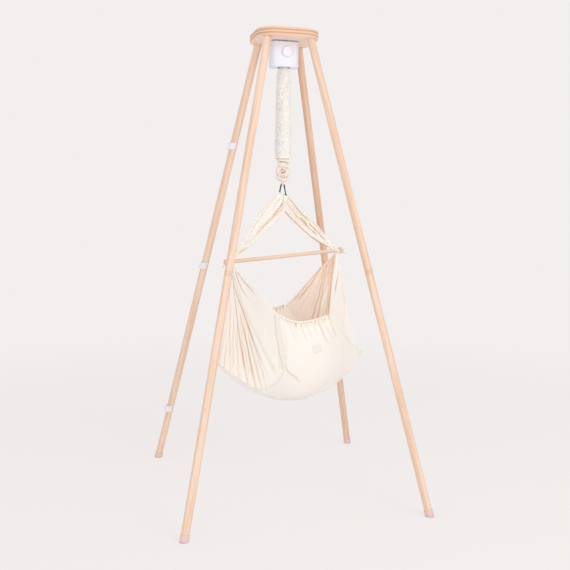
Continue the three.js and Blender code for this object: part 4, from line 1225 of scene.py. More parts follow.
@dataclass
class Pouch:
    """The hanging pouch of the cradle."""

    shape: CradleShape
    columns: int = 150
    rows: int = 230
    thickness: float = 0.0022
    gather_pitch: float = 0.0145
    gather_depth: float = 0.0017
    gather_reach: float = 0.030
    swell: float = 0.0022
    pucker: float = 0.0009
    pucker_pitch: float = 0.013
    back_phase: float = 1.7
    # Each row: width and depth in millimetres, painted shade and maybe two fades, then the places.
    creases: tuple[Crease, ...] = creases(
        1000,
        ((4.2, 3.4, 0.55), -1000, -720, -875, -675, -490, -604, -283, -500),
        ((3, 1.6, 0.35), -960, -700, -800, -670, -460, -570, -320, -480),
        ((4.2, 2.6, 0.42, 0.1, 0.1), -825, -963, -842, -879, -892, -800, -1000, -742),
        ((3, 1.8, 0.4, 0.3, 0.1), -925, -746, -1000, -708),
        ((4.2, 3.4, 0.42), -165, -999, -125, -975, -58, -929, 33, -890),
        ((4.2, 3.8, 0.6), 440, -999, 483, -954, 492, -875, 525, -790),
        ((6, 4, 0.42), 950, -990, 908, -929, 858, -850, 758, -658),
        ((4.5, 2.6, 0.3), -400, -999, -358, -942, -333, -879),
        ((4.5, 2.6, 0.32), -600, -999, -542, -975, -483, -929, -333, -860),
        ((3.5, 2.4, 0.34), 60, -999, 100, -955, 140, -910),
        ((3.2, 2.4, 0.42), 270, -999, 290, -955, 320, -920),
        ((5, 2.8, 0.26), 660, -999, 680, -950, 690, -860, 700, -760),
    )

    def grid(self) -> Pair:
        """The pouch's middle surface and the painted shade in its folds.

        Returns:
            The points and the painted fold shade at each.
        """
        along = column(-1.0, 1.0, self.columns)
        over = row(-1.0, 1.0, self.rows)
        points = self.shape.pouch(along, over)
        normals = outwards(points, grid_normals(points))
        arc = arc_lengths(points, 1)
        edge = np.minimum(arc[:, -1:] - arc, arc - arc[:, :1])
        across = points[..., 0]
        back = (over > 0.0) * self.back_phase
        warp = Ripple(11, 4.0, 16.0).at(across, back)
        reach = self.gather_reach * (0.75 + 0.45 * Ripple(12, 12.0, 30.0).at(across, back))
        fade = 1.0 - smooth_step(0.0, 1.0, edge / np.maximum(reach, 0.02))
        gathers = ridges(across / self.gather_pitch + 0.55 * warp + back)
        # Painted shade in the puckers' valleys.
        seam_fade = smooth_step(0.0, 0.05, 1.0 - np.abs(along))
        lift = self.gather_depth * gathers * fade * seam_fade
        # Painted shade in the valleys of the gathers.
        fold = fade * seam_fade * smooth_step(0.1, -0.6, gathers)
        pressed, crease_shade = press_all(self.creases, points, self.shape.pouch, 1.0)
        lift = lift + pressed + self.swell * Ripple(13, 2.0, 6.0).at(across, arc) * seam_fade
        fold = np.maximum(fold, crease_shade)
        drift = 3.0 * Ripple(14, 8.0, 20.0).at(arc, along)
        pucker = self.pucker * np.cos(math.tau * arc / self.pucker_pitch + drift)
        lift = lift + pucker * (1.0 - smooth_step(0.0, 0.10, 1.0 - np.abs(along))) * seam_fade
        return points + normals * lift[..., None], fold

    def build(self, material: Material) -> Piece:
        """Makes the pouch.

        Args:
            material: Its finish.

        Returns:
            The piece.
        """
        grid, fold = self.grid()
        piece = thick_sheet("pouch_cloth", self.shape.place(grid), fold, self.thickness)
        dress(piece, material, "cradle", ["pouch"])
        declare_sheet(piece, grid)
        return piece


def declare_sheet(piece: Piece, grid: Array) -> None:
    """Logs the size of the sheet that a piece is cut from, by the grid that it was made from.

    Args:
        piece: The piece.
        grid: Points of its middle surface.
    """
    width = float(np.ptp(arc_lengths(grid, 0), axis=0).max())
    length = float(np.ptp(arc_lengths(grid, 1), axis=1).max())
    area = min(grid_area(grid), width * length)
    log.info("%s is cut from %.3f by %.3f m, %.4f square metres", piece.name, width, length, area)


@dataclass
class EndFan:
    """A gathered end of the cradle, from the bar down to the pouch."""

    shape: CradleShape
    side: Side
    rows: int = 80
    columns: int = 420
    thickness: float = 0.0022
    creases: tuple[Crease, ...] = ()
    folds: float = 22.0
    fold_depth: float = 0.0095
    swell: float = 0.003
    tuck: float = 0.03
    seam_share: float = 0.998
    reach: float = 0.994

    def strength(self, over: Array) -> Array:
        """How strongly the cloth is folded by its own gathers.

        Args:
            over: -1 at the front edge and 1 at the back one.

        Returns:
            The strength, 0 to 1.
        """
        if self.side is Side.RIGHT:
            return 0.08 + 0.30 * smooth_step(-0.35, -0.1, over)
        return 0.06 + 0.62 * smooth_step(-0.50, -0.34, over)

    def shade(self, over: Array, inside: Array) -> Array:
        """How much painted shade darkens the cloth where its gathers lie close together.

        Args:
            over: -1 at the front edge and 1 at the back one.
            inside: 0 at the gathered top and 1 at the seam.

        Returns:
            The shade, 0 to 1.
        """
        if self.side is Side.RIGHT:
            return (0.20 + 0.36 * (1.0 - smooth_step(0.05, 0.45, inside))) * smooth_step(-0.1, 0.3, over)
        return 0.26 * smooth_step(-0.50, -0.40, over) * (1.0 - 0.3 * inside)

    def surface(self, share: Array, over: Array) -> Array:
        """Points of the smooth fan."""
        return self.shape.fan(self.side, share, over)[0]

    def grid(self) -> Pair:
        """The fan's middle surface and the painted shade in its folds.

        Returns:
            The points and the painted fold shade at each.
        """
        share = column(-self.tuck, self.seam_share, self.rows)
        over = row(-self.reach, self.reach, self.columns)
        points, outward = self.shape.fan(self.side, share, over)
        seed = 21 if self.side is Side.LEFT else 31
        warp = Ripple(seed, 0.4, 1.6).at(over, 0.6 * share)
        waver = Ripple(seed + 1, 0.6, 1.8).at(share * 1.3, over * 3.0)
        height = ridges(self.folds * over + 0.85 * warp + 0.10 * waver)
        uneven = 0.8 + 0.3 * Ripple(seed + 2, 2.0, 6.0).at(over, 0.5 * share)
        inside = np.clip(share, 0.0, 1.0)
        seam_fade = 1.0 - 0.75 * smooth_step(0.965, 1.0, inside)
        scale = (0.05 + 0.95 * inside) ** 0.75 * seam_fade
        strength = self.strength(over) * uneven * (1.0 - 0.6 * smooth_step(0.9, 1.0, np.abs(over)))
        lift = self.fold_depth * scale * strength * height
        # Painted shade: the gathers' valleys plus the painted shade of shade().
        fold = strength * smooth_step(-0.2, -0.64, height) * (0.8 - 0.35 * inside) + self.shade(over, inside)
        size = (0.32 + 0.68 * inside) * np.ones_like(over)
        pressed, crease_shade = press_all(self.creases, points, self.surface, size)
        swell = self.swell * inside * Ripple(seed + 3, 0.5, 1.5).at(over, share)
        lift = lift + pressed * seam_fade + swell * seam_fade
        return points + outward * lift[..., None], np.clip(np.maximum(fold, crease_shade), 0.0, 1.0)

    def build(self, material: Material) -> Piece:
        """Makes the fan.

        Args:
            material: Its finish.

        Returns:
            The piece.
        """
        grid, fold = self.grid()
        name = f"end_fan_{self.side.value}"
        piece = thick_sheet(f"{name}_cloth", self.shape.place(grid), fold, self.thickness)
        dress(piece, material, "cradle", [name])
        declare_sheet(piece, grid)
        return piece


@dataclass
class MouthHem:
    """The ruffled elastic edge along one side of the cradle's mouth."""

    shape: CradleShape
    name: str
    over: int
    reach: float = 0.93
    half_width: float = 0.0028
    half_height: float = 0.0036
    lift: float = 0.0036
    ruffle_pitch: float = 0.0125
    ruffle_rise: float = 0.0010
    steps: int = 260
    around: int = 20

    def build(self, material: Material) -> Piece:
        """Makes the edge.

        Args:
            material: Its finish.

        Returns:
            The piece.
        """
        along = np.linspace(-self.reach, self.reach, self.steps)
        edge = self.shape.pouch(along, np.full(self.steps, float(self.over)))
        below = self.shape.pouch(along, np.full(self.steps, self.over * 0.97))
        upward = unit(edge - below)
        arc = run_of(edge)
        warp = Ripple(41 + self.over, 5.0, 25.0).at(arc, np.zeros_like(arc))
        ruffle = ridges(arc / self.ruffle_pitch + 0.8 * warp)
        path = edge + upward * (self.lift + self.ruffle_rise * ruffle[:, None])
        end_fade = 0.55 + 0.45 * smooth_step(0.0, 0.05, 1.0 - np.abs(along) / self.reach)
        angle = full_turn(self.around)[None, :]
        swell = (1.0 + 0.24 * ruffle[:, None] * (0.6 + 0.4 * np.cos(2.0 * angle))) * end_fade[:, None]
        rings = tube_rings(path, UP, self.half_width * swell, self.half_height * swell, self.around)
        # Painted shade in the ruffles' valleys.
        fold = np.broadcast_to(smooth_step(0.1, -0.62, ruffle)[:, None], rings.shape[:2]) * 0.4
        piece = capped_loft(f"{self.name}_cloth", self.shape.place(rings), fold)
        return dress(piece, material, "cradle", [self.name])


@dataclass
class HangStrap:
    """A pleated strap from the carabiner to one end of the bar."""

    shape: CradleShape
    side: Side
    droop: float
    edges: tuple[Triple, ...]
    creases: tuple[Crease, ...]
    pleats: float
    forward: float
    top_x: float = 0.007
    top_rise: float = -0.019
    top_thickness: float = 0.024
    middle_thickness: float = 0.015
    start: float = -0.019
    hem: float = 0.0055
    pleat_depth: float = 0.0030
    end_round: float = 0.012
    swell: float = 0.0007
    steps: int = 150
    around: int = 132

    def line(self, share: Array, offset: Array) -> Array:
        """Points of the strap's middle surface, by share of its length and metres across it.

        Args:
            share: Share of the length, 0 at the top.
            offset: Distance from the middle.

        Returns:
            The points.
        """
        top, way, length = self.run()
        flat = np.array([way[2], 0.0, -way[0]])
        sag = -self.droop * UP * np.sin(math.pi * np.asarray(share))[..., None]
        aside = np.asarray(offset)[..., None] * flat
        return top + way * (np.asarray(share) * length)[..., None] + sag + aside

    def run(self) -> tuple[Array, Array, float]:
        """Where the strap starts, its direction and its length.

        Returns:
            The point, a unit vector and the length.
        """
        sign = self.shape.ends[self.side].sign
        top = np.array([sign * self.top_x, self.forward, self.top_rise])
        end = np.array([sign * self.shape.gather_x, 0.0, -self.shape.bar_drop])
        length = float(np.linalg.norm(end - top))
        return top, (end - top) / length, length

    def rings(self) -> Pair:
        """The strap's rings and the painted shade in its pleats.

        Returns:
            The points and the painted fold shade at each.
        """
        length = self.run()[2]
        finish = length + self.shape.bar_radius + self.hem
        distance = column(self.start, finish, self.steps)
        share = distance / length
        swell = np.sin(math.pi * np.clip(share, 0.0, 1.0)) ** 0.7
        thickness = self.top_thickness + (self.middle_thickness - self.top_thickness) * swell
        places = np.array(self.edges) / 1000
        kernel = np.hanning(13) / np.hanning(13).sum()
        low, high = (
            np.convolve(
                np.pad(np.interp(share[:, 0], places[:, 0], places[:, i]), len(kernel) // 2, mode="edge"),
                kernel, "valid",
            )
            for i in (1, 2)
        )
        near = np.minimum(distance - self.start, finish - distance)
        cap = np.sqrt(np.clip(1.0 - (1.0 - np.clip(near / self.end_round, 0.0, 1.0)) ** 2, 0.12, 1.0))
        angle = full_turn(self.around)[None, :]
        flank, face = np.cos(angle), np.sin(angle)
        offset = ((low + high) / 2.0)[:, None] + ((high - low) / 2.0)[:, None] * flank * (0.8 + 0.2 * cap)
        seed = 51 if self.side is Side.LEFT else 61
        drift = 0.55 * Ripple(seed, 0.3, 1.1).at(share * 1.4, flank * 0.6) + 0.15 * face
        uneven = 0.55 + 0.45 * Ripple(seed + 2, 0.5, 1.6).at(share * 1.6, flank * 1.2)
        pleat = ridges(self.pleats * flank * 0.5 + drift)
        fullness = np.clip(uneven, 0.1, 1.2) * np.abs(face) ** 0.5
        middle = self.line(share + 0.0 * angle, offset)
        pressed, crease_shade = press_all(self.creases, middle, self.line, 1.0)
        bulge = np.sign(face) * np.abs(face) ** 0.8
        rise = thickness / 2.0 + self.pleat_depth * pleat * fullness + pressed * np.abs(face) ** 0.5
        rise = rise * bulge * cap
        rise = rise + self.swell * Ripple(seed + 1, 1.0, 3.0).at(share * 6.0, flank * 2.0 + face)
        # Painted shade in the pleats' valleys and along the creases.
        fold = np.maximum(0.7 * smooth_step(0.0, -0.62, pleat) * fullness, crease_shade)
        return middle + rise[..., None] * BACKWARDS, np.clip(fold, 0.0, 1.0)

    def build(self, material: Material, gate: Sequence[Pair]) -> Piece:
        """Makes the strap, drawn in where the carabiner's gate swings.

        Args:
            material: Its finish.
            gate: Middle lines of the gate on its way.

        Returns:
            The piece.
        """
        rings, fold = self.rings()
        name = f"strap_{self.side.value}"
        piece = capped_loft(f"{name}_cloth", drawn_in(self.shape.place(rings), gate, GATE_ROOM), fold)
        return dress(piece, material, "cradle", [name])


@dataclass
class BarTie:
    """A cord wound round one end of the bar, with a loose tail."""

    shape: CradleShape
    side: Side
    inset: float = 0.007
    radius: float = 0.0025
    turns: float = 3.0
    spread: float = 0.016
    slack: float = 0.0004
    tail: float = 0.021
    steps: int = 150
    around: int = 14

    def build(self, material: Material) -> Piece:
        """Makes the tie.

        Args:
            material: Its finish.

        Returns:
            The piece.
        """
        sign = self.shape.ends[self.side].sign
        turn = np.linspace(0.0, 1.0, self.steps)
        angle = math.tau * self.turns * turn - 0.7 * math.pi
        ring = self.shape.bar_radius + self.radius + self.slack
        place = sign * (self.shape.bar_half_length - self.inset + self.spread * (turn - 0.8))
        wrap = stacked(place, ring * np.cos(angle), -self.shape.bar_drop + ring * np.sin(angle))
        reach = np.linspace(0.0, 1.0, 40)[1:, None]
        heading = np.array([sign * 0.8, -0.25, -0.5]) * self.tail
        curl = np.array([sign * 0.002, 0.003, 0.0]) * np.sin(4.0 * reach)
        path = np.concatenate([wrap, wrap[-1] + heading * reach + curl])
        radius = self.radius * (1.0 - 0.35 * smooth_step(0.85, 1.0, np.linspace(0.0, 1.0, len(path))))
        rings = tube_rings(path, np.array([1.0, 0.15, 0.1]), radius, radius, self.around)
        name = f"bar_tie_{self.side.value}"
        piece = capped_loft(f"{name}_cord", self.shape.place(rings))
        return dress(piece, material, "cradle", [name])


@dataclass
class LabelPatch:
    """The small bare patch sewn to the front of the pouch."""

    shape: CradleShape
    along: float = 0.18
    over: float = -0.84
    side: float = 0.038
    lift: float = 0.0026
    thickness: float = 0.0012
    stitch_inset: float = 0.0025
    stitch_width: float = 0.0011
    stitch_depth: float = 0.0005
    cells: int = 40

    def grid(self) -> Array:
        """The patch's middle surface.

        Returns:
            The points.
        """
        step = 0.01
        along = self.along + np.array([0.0, step, 0.0])
        over = self.over + np.array([0.0, 0.0, step])
        spots = self.shape.pouch(along, over)
        per_along, per_over = (float(np.linalg.norm(spots[i] - spots[0])) / step for i in (1, 2))
        half = np.linspace(-0.5, 0.5, self.cells) * self.side
        along = self.along + half[:, None] / per_along
        over = self.over + half[None, :] / per_over
        points = self.shape.pouch(along, over)
        normals = outwards(points, grid_normals(points))
        edge = np.minimum(self.side / 2 - np.abs(half[:, None]), self.side / 2 - np.abs(half[None, :]))
        dimple = self.stitch_depth * groove(edge - self.stitch_inset, self.stitch_width)
        return points + normals * (self.lift + dimple)[..., None]

    def build(self, material: Material) -> Piece:
        """Makes the patch.

        Args:
            material: Its finish.

        Returns:
            The piece.
        """
        grid = self.grid()
        piece = thick_sheet("label_patch_cloth", self.shape.place(grid), None, self.thickness)
        dress(piece, material, "cradle", ["label_patch"])
        declare_sheet(piece, grid)
        return piece


@dataclass
class Mattress:
    """The pad that lies in the pouch."""

    shape: CradleShape
    along: float = 0.64
    over: float = 0.42
    lift: float = 0.0040
    depth: float = 0.021
    cells: int = 44
    wall: float = 0.004
    voxel: float = 0.005
    pressure: float = 4.0
    cap: float = 0.006

    def start(self) -> Piece:
        """The pad's plain closed form, a little smaller than its solid.

        Returns:
            The piece.
        """
        along = column(-self.along, self.along, self.cells)
        over = row(-self.over, self.over, self.cells)
        points = self.shape.pouch(along, over)
        normals = outwards(points, grid_normals(points))
        rim = np.minimum(
            np.sqrt(np.clip(1.0 - (along / self.along) ** 8, 0.0, 1.0)),
            np.sqrt(np.clip(1.0 - (over / self.over) ** 8, 0.0, 1.0)),
        )
        low = points - normals * self.lift
        high = points - normals * (self.lift + self.wall + (self.depth - self.wall) * rim)[..., None]
        name = "mattress_pad"
        mesh = bpy.data.meshes.new(name)
        index = np.arange(self.cells**2).reshape(self.cells, self.cells)
        top = index + self.cells**2
        rim_path = np.concatenate([index[:, 0], index[-1, 1:], index[-2::-1, -1], index[0, -2:0:-1]])
        ahead = np.roll(rim_path, -1)
        wall = np.stack([rim_path, ahead, ahead + self.cells**2, rim_path + self.cells**2], axis=1)
        faces = np.concatenate([*(cell_corners(level).reshape(-1, 4) for level in (index, top)), wall])
        corners = self.shape.place(np.concatenate([low.reshape(-1, 3), high.reshape(-1, 3)]))
        mesh.from_pydata(corners.tolist(), [], faces.tolist())
        piece = new_object(name, mesh)
        mend(piece.data)
        return piece

    def build(self, material: Material) -> Piece:
        """Makes the pad, filled by a cloth simulation.

        Args:
            material: Its finish.

        Returns:
            The piece.
        """
        piece = self.start()
        piece = inflate(piece, self.voxel, self.pressure, self.cap)
        dress(piece, material, "cradle", ["mattress"])
        return piece


def inflate(piece: Piece, voxel: float, pressure: float, cap: float) -> Piece:
    """Fills a closed piece of cloth by a pressure simulation.

    Args:
        piece: The piece, at the origin.
        voxel: Size of the cells that it is remeshed with.
        pressure: Pressure inside.
        cap: The farthest that any point moves.

    Returns:
        The piece with its filled mesh.
    """
    remesh = piece.modifiers.new("remesh", "REMESH")
    remesh.mode = "VOXEL"
    remesh.voxel_size = voxel
    as_plain(piece)
    rest = np.array([point.co for point in piece.data.vertices])
    cloth = piece.modifiers.new("fill", "CLOTH")
    cloth.settings.use_pressure = True
    cloth.settings.uniform_pressure_force = pressure
    cloth.settings.effector_weights.gravity = 0.0
    cloth.settings.quality = 5
    cloth.point_cache.frame_start = 1
    cloth.point_cache.frame_end = LAST_FRAME
    for step in range(1, LAST_FRAME + 1):
        bpy.context.scene.frame_set(step)
    as_plain(piece)
    bpy.context.scene.frame_set(1)
    moved = np.array([point.co for point in piece.data.vertices]) - rest
    held = rest + moved * np.minimum(1.0, cap / np.maximum(length_of(moved), TINY))
    piece.data.vertices.foreach_set("co", held.ravel())
    smooth = piece.modifiers.new("smooth", "SUBSURF")
    smooth.levels = smooth.render_levels = 1
    as_plain(piece)
    piece.data.polygons.foreach_set("use_smooth", [True] * len(piece.data.polygons))
    return piece


@dataclass
class SpringSleeve:
    """The wrinkled cloth sleeve round the spring."""

    top: float = 1.783
    bottom: float = 1.403
    radii: tuple[float, ...] = (0.0178, 0.0178, 0.0205, 0.0250, 0.0275, 0.0300, 0.0320, 0.0325, 0.0300)
    places: tuple[float, ...] = (0.0, 0.032, 0.045, 0.075, 0.20, 0.50, 0.80, 0.93, 1.0)
    thickness: float = 0.0016
    rows: int = 190
    around: int = 120
    wrinkle: float = 0.0022
    slant: float = 0.0012
    hem: float = 0.0008

    def build(self, material: Material) -> Piece:
        """Makes the sleeve.

        Args:
            material: Its finish.

        Returns:
            The piece.
        """
        share = column(0.0, 1.0, self.rows)
        angle = full_turn(self.around)[None, :]
        radius = np.interp(share[:, 0], self.places, self.radii)[:, None]
        around, side = np.cos(angle), np.sin(angle)
        ring = Ripple(71, 5.0, 13.0).at(share * 1.6 + 0.05 * side, 0.22 * around)
        slant = Ripple(72, 2.0, 5.0).at(share * 3.0, 0.7 * around + 0.5 * side)
        # Deeper wrinkles on the left side, where the painted fold shade is also stronger.
        left = 0.55 + 0.45 * smooth_step(-0.2, 0.9, -around)
        wave = ridges(0.9 * ring + 0.4 * slant)
        end_fade = smooth_step(0.0, 0.03, share) * smooth_step(0.0, 0.02, 1.0 - share)
        hem = smooth_step(0.985, 0.992, share) + smooth_step(0.985, 0.992, 1.0 - share)
        lift = (self.wrinkle * left * wave + self.slant * slant) * end_fade + self.hem * hem
        height = self.top + (self.bottom - self.top) * share
        grid = stacked((radius + lift) * around, (radius + lift) * side, height)
        # Painted shade in the wrinkles' valleys, strongest on the left side.
        fold = 0.8 * left * smooth_step(0.05, -0.62, wave) * end_fade
        piece = thick_sheet("spring_sleeve_cloth", grid, fold, self.thickness, wrap=True)
        hang_between(piece, material, "spring_sleeve")
        declare_sheet(piece, grid)
        return piece


@dataclass
class KnottedLoop:
    """The knotted end of the sleeve's cloth, tied in a loop that carries the carabiner."""

    cuff_top: float = 1.432
    neck: float = 1.374
    knot_height: float = 1.346
    knot_radius: float = 0.0185
    rope: float = 0.0102
    apex: float = 1.299
    pleat: float = 0.0021
    tuck_height: float = 1.3875
    tuck_depth: float = 0.0022
    tuck_width: float = 0.0030
    steps: int = 140
    around: int = 40

    def cuff(self) -> Pair:
        """The gathered cloth between the sleeve and the knot.

        Returns:
            The points and the painted fold shade at each.
        """
        share = column(0.0, 1.0, 70)
        angle = full_turn(96)[None, :]
        height = self.cuff_top + (self.neck - 0.010 - self.cuff_top) * share
        places = (1.364, 1.368, 1.374, 1.380, 1.386, 1.396, 1.402, 1.410, 1.432)
        radii = (0.0110, 0.0170, 0.0225, 0.0240, 0.0246, 0.0250, 0.0246, 0.0225, 0.0170)
        radius = np.interp(height, places, radii)
        pleat = ridges(4.5 * angle / math.pi + 0.6 * Ripple(81, 0.5, 1.5).at(share * 2.0, np.cos(angle)))
        depth = np.interp(height, (1.364, 1.380, 1.400, 1.432), (0.0016, 0.0012, 0.0010, 0.0004))
        slant = height - self.tuck_height + 0.16 * radius * np.cos(angle) - 0.0012 * np.sin(3.0 * angle)
        tuck = np.exp(-((slant / self.tuck_width) ** 2)) * smooth_step(-0.9, -0.2, np.cos(angle + 0.5))
        reach = radius + depth * pleat - self.tuck_depth * tuck
        lean = 0.0025 * smooth_step(0.4, 1.0, share)
        rings = stacked(reach * np.cos(angle) + lean, reach * np.sin(angle), height)
        # Painted shade in the pleats' valleys below the neck and along the tuck.
        fold = 0.5 * smooth_step(0.0, -0.62, pleat) * smooth_step(1.376, 1.366, height)
        return rings, np.clip(np.maximum(fold, 0.8 * tuck), 0.0, 1.0)

    def rope_rings(self, path: Array, up: Array, radius: Array, seed: int) -> Pair:
        """Rings of gathered cloth that twists along a path.

        Args:
            path: Points of the path.
            up: A direction that never lies along it.
            radius: Half the thickness at each point.
            seed: Seed of its pleats.

        Returns:
            The points and the painted fold shade at each.
        """
        share = np.linspace(0.0, 1.0, len(path))[:, None]
        angle = full_turn(self.around)[None, :]
        waver = 0.4 * Ripple(seed, 0.5, 2.0).at(share * 2.0, np.cos(angle))
        pleat = ridges(2.0 * angle / math.pi + 1.1 * share + waver)
        swell = radius[:, None] + self.pleat * pleat
        return tube_rings(path, up, swell, swell, self.around), 0.55 * smooth_step(-0.1, -0.62, pleat)

    def strands(self) -> list[Pair]:
        """The knot's strands: ring, crossing turn, tail and the loop through the carabiner.

        Returns:
            The points and the painted fold shade of each strand.
        """
        turn = np.linspace(0.0, 1.0, self.steps)
        angle = math.tau * (turn * 1.06 - 0.28)
        depth = 0.006 * np.sin(math.pi * (turn * 2.0 - 1.0))
        ring = stacked(
            0.001 + self.knot_radius * 1.04 * np.cos(angle),
            depth,
            self.knot_height + 0.005 + self.knot_radius * 0.94 * np.sin(angle),
        )
        bend = np.linspace(0.0, 1.0, 90)
        bow = np.sin(math.pi * bend)
        low, level = self.knot_height - 0.019, self.knot_height + 0.001
        cross = stacked(-0.019 + 0.038 * bend, -0.0085 * bow - 0.002, low - 0.0045 - 0.007 * bow)
        tail = stacked(-0.012 - 0.017 * bend, 0.002 - 0.010 * bend, low - 0.004 * bend**2)
        rise = 0.006 * np.sin(0.8 * math.pi * bend)
        curl = stacked(-0.013 + 0.021 * bend, -0.003 - 0.003 * bow, level + rise)
        sine, cosine = np.sin(math.tau * turn), np.cos(math.tau * turn)
        carry = stacked(0.0015 * sine, 0.0088 * sine, self.apex + 0.0050 + 0.0105 * cosine)
        return [
            self.rope_rings(ring, BACKWARDS, np.full(self.steps, self.rope), 82),
            self.rope_rings(cross, UP, 0.0095 - 0.002 * np.abs(2.0 * bend - 1.0) ** 3, 83),
            self.rope_rings(tail, UP, 0.0068 - 0.0022 * bend**2, 84),
            self.rope_rings(carry, RIGHTWARDS, np.full(self.steps, 0.0036), 85),
            self.rope_rings(curl, BACKWARDS, 0.0036 - 0.0010 * bend, 86),
            self.core(),
        ]

    def core(self) -> Pair:
        """The fold of cloth that shows through the knot's ring, all in deep painted shade.

        Returns:
            The points and the painted shade at each.
        """
        depth = column(0.0, 1.0, 12)
        angle = full_turn(self.around)[None, :]
        reach = 0.0115 * np.sqrt(1.0 - 0.6 * depth**2) * (1.0 + 0.14 * np.cos(3.0 * angle + 0.6))
        rings = stacked(
            0.001 + reach * np.cos(angle),
            0.007 - 0.009 * depth,
            self.knot_height + 0.005 + reach * np.sin(angle),
        )
        # Painted shade over the whole core, standing in for the shade inside the knot.
        return rings, np.full(rings.shape[:2], 0.75)

    def build(self, material: Material) -> Piece:
        """Makes the knotted loop as one piece.

        Args:
            material: Its finish.

        Returns:
            The piece.
        """
        parts = [capped_loft("knot_strand", *strand) for strand in (self.cuff(), *self.strands())]
        shell = bmesh.new()
        for part in parts:
            shell.from_mesh(part.data)
        mesh = bpy.data.meshes.new("knotted_loop_cloth")
        shell.to_mesh(mesh)
        shell.free()
        for part in parts:
            bpy.data.objects.remove(part)
        piece = new_object("knotted_loop_cloth", mesh)
        return dress(piece, material, "cradle", ["knotted_loop"])


@dataclass
class LeadStrap:
    """A short strap of webbing that holds the power lead to a leg."""

    node: str
    slope: Triple
    leg_radius: float = 0.016
    width: float = 0.028
    thickness: float = 0.0022
    slack: float = 0.0004
    rib: float = 0.00025
    rib_pitch: float = 0.0045
    edge_wear: float = 0.0006
    slant: float = 0.0012
    tab: float = 0.006
    tab_spread: float = 0.16
    outer_turn: float = math.radians(169.2)
    rows: int = 26
    around: int = 240

    def build(self, material: Material) -> Piece:
        """Makes the strap with its pinched tab.

        Args:
            material: Its finish.

        Returns:
            The piece.
        """
        low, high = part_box(self.node)
        centre = np.array((low + high) / 2)
        level = column(-0.5, 0.5, self.rows)
        angle = full_turn(self.around)[None, :]
        ribs = self.rib * np.cos(math.tau * level * self.width / self.rib_pitch)
        edge = self.edge_wear * smooth_step(0.42, 0.5, np.abs(level))
        away = (angle - self.outer_turn + math.pi) % (math.tau) - math.pi
        pinch = self.tab * np.exp(-((away / self.tab_spread) ** 2))
        radius = self.leg_radius + self.slack + self.thickness / 2 + ribs - edge + pinch
        slant = self.slant * np.cos(angle)
        ring = stacked(radius * np.cos(angle), radius * np.sin(angle), slant)
        points = centre + np.array(self.slope) * (self.width * level)[..., None] + ring
        name = f"{self.node}_webbing"
        piece = thick_sheet(name, points, None, self.thickness, wrap=True)
        dress(piece, material, "stand", [self.node])
        declare_sheet(piece, points)
        return piece


@dataclass
class FootCap:
    """A soft translucent cap on the foot of a leg."""

    corner: str
    slope: Triple
    spread: float
    height: float = 0.0255
    inner_radius: float = 0.0162
    outer_radius: float = 0.0176
    flare: float = 0.0007
    rim: float = 0.0007
    socket_floor: float = 0.0078
    around: int = 72

    def build(self, material: Material) -> Piece:
        """Makes the cap, flat where it stands on the floor.

        Args:
            material: Its finish.

        Returns:
            The piece.
        """
        foot = np.sign(self.slope) * (-self.spread, -self.spread, 0.0)
        axis = unit(np.array(self.slope))
        across = unit(np.cross(axis, UP))
        upright = np.cross(axis, across)
        outer, rim = self.outer_radius, self.rim
        profile = [
            (-0.05, outer * 0.6), (-0.05, outer + self.flare - 0.001), (0.0012, outer + self.flare),
            (0.010, outer + 0.3 * self.flare), (self.height - 0.002, outer),
            (self.height - 0.0004, outer - 0.3 * rim), (self.height, outer - rim),
            (self.height - 0.0003, self.inner_radius + 0.2 * rim),
            (self.height - 0.002, self.inner_radius), (0.014, self.inner_radius),
            (self.socket_floor, self.inner_radius), (self.socket_floor, self.inner_radius * 0.5),
        ]
        angle = full_turn(self.around)
        around = np.cos(angle)[:, None] * across + np.sin(angle)[:, None] * upright
        rings = []
        for reach, radius in profile:
            floor = -radius * around[:, 2] / axis[2]
            rings.append(foot + np.maximum(reach, floor)[:, None] * axis + radius * around)
        name = f"foot_cap_{self.corner}"
        piece = capped_loft(f"{name}_rubber", np.array(rings))
        return dress(piece, material, "stand", [name])


# Repeats made by geometry nodes


class NodeGroup(Sheet):
    """A geometry node group with named inputs."""

    def __init__(self, name: str, inputs: Mapping[str, str]) -> None:
        """Starts a group.

        Args:
            name: Name of the group.
            inputs: Socket type of each input, by name.
        """
        super().__init__(bpy.data.node_groups.new(name, "GeometryNodeTree"))
        face = self.tree.interface
        face.new_socket("Geometry", in_out="OUTPUT", socket_type="NodeSocketGeometry")
        face.new_socket("Geometry", in_out="INPUT", socket_type="NodeSocketGeometry")
        self.identifiers = {
            label: face.new_socket(label, in_out="INPUT", socket_type=f"NodeSocket{kind}").identifier
            for label, kind in inputs.items()
        }
        self.source = self.node("NodeGroupInput")

    def value(self, label: str) -> Socket:
        """One of the group's inputs."""
        return self.source.outputs[label]

    def end(self, geometry: Socket) -> None:
        """Turns instances into plain faces, gives them the material and ends the group.

        Args:
            geometry: What the group has made.
        """
        real = self.node("GeometryNodeRealizeInstances", inputs={"Geometry": geometry})
        smooth = self.node("GeometryNodeSetShadeSmooth", inputs={"Geometry": real.outputs[0]})
        painted = self.node("GeometryNodeSetMaterial", inputs={
            "Geometry": smooth.outputs[0], "Material": self.value("Material"),
        })
        self.node("NodeGroupOutput", inputs={0: painted.outputs[0]})

    def run(self, piece: Piece, values: Mapping[str, object]) -> Piece:
        """Runs the group on an object and leaves a plain mesh object in its place.

        Args:
            piece: The object that the group works on.
            values: Values of the group's inputs, by name.

        Returns:
            A new object with the result.
        """
        modifier = piece.modifiers.new("repeat", "NODES")
        modifier.node_group = self.tree
        for label, value in values.items():
            modifier[self.identifiers[label]] = value
        piece.update_tag()
        ready, name = evaluated(piece), piece.name
        bpy.data.objects.remove(piece)
        return linked(bpy.data.objects.new(name, ready))


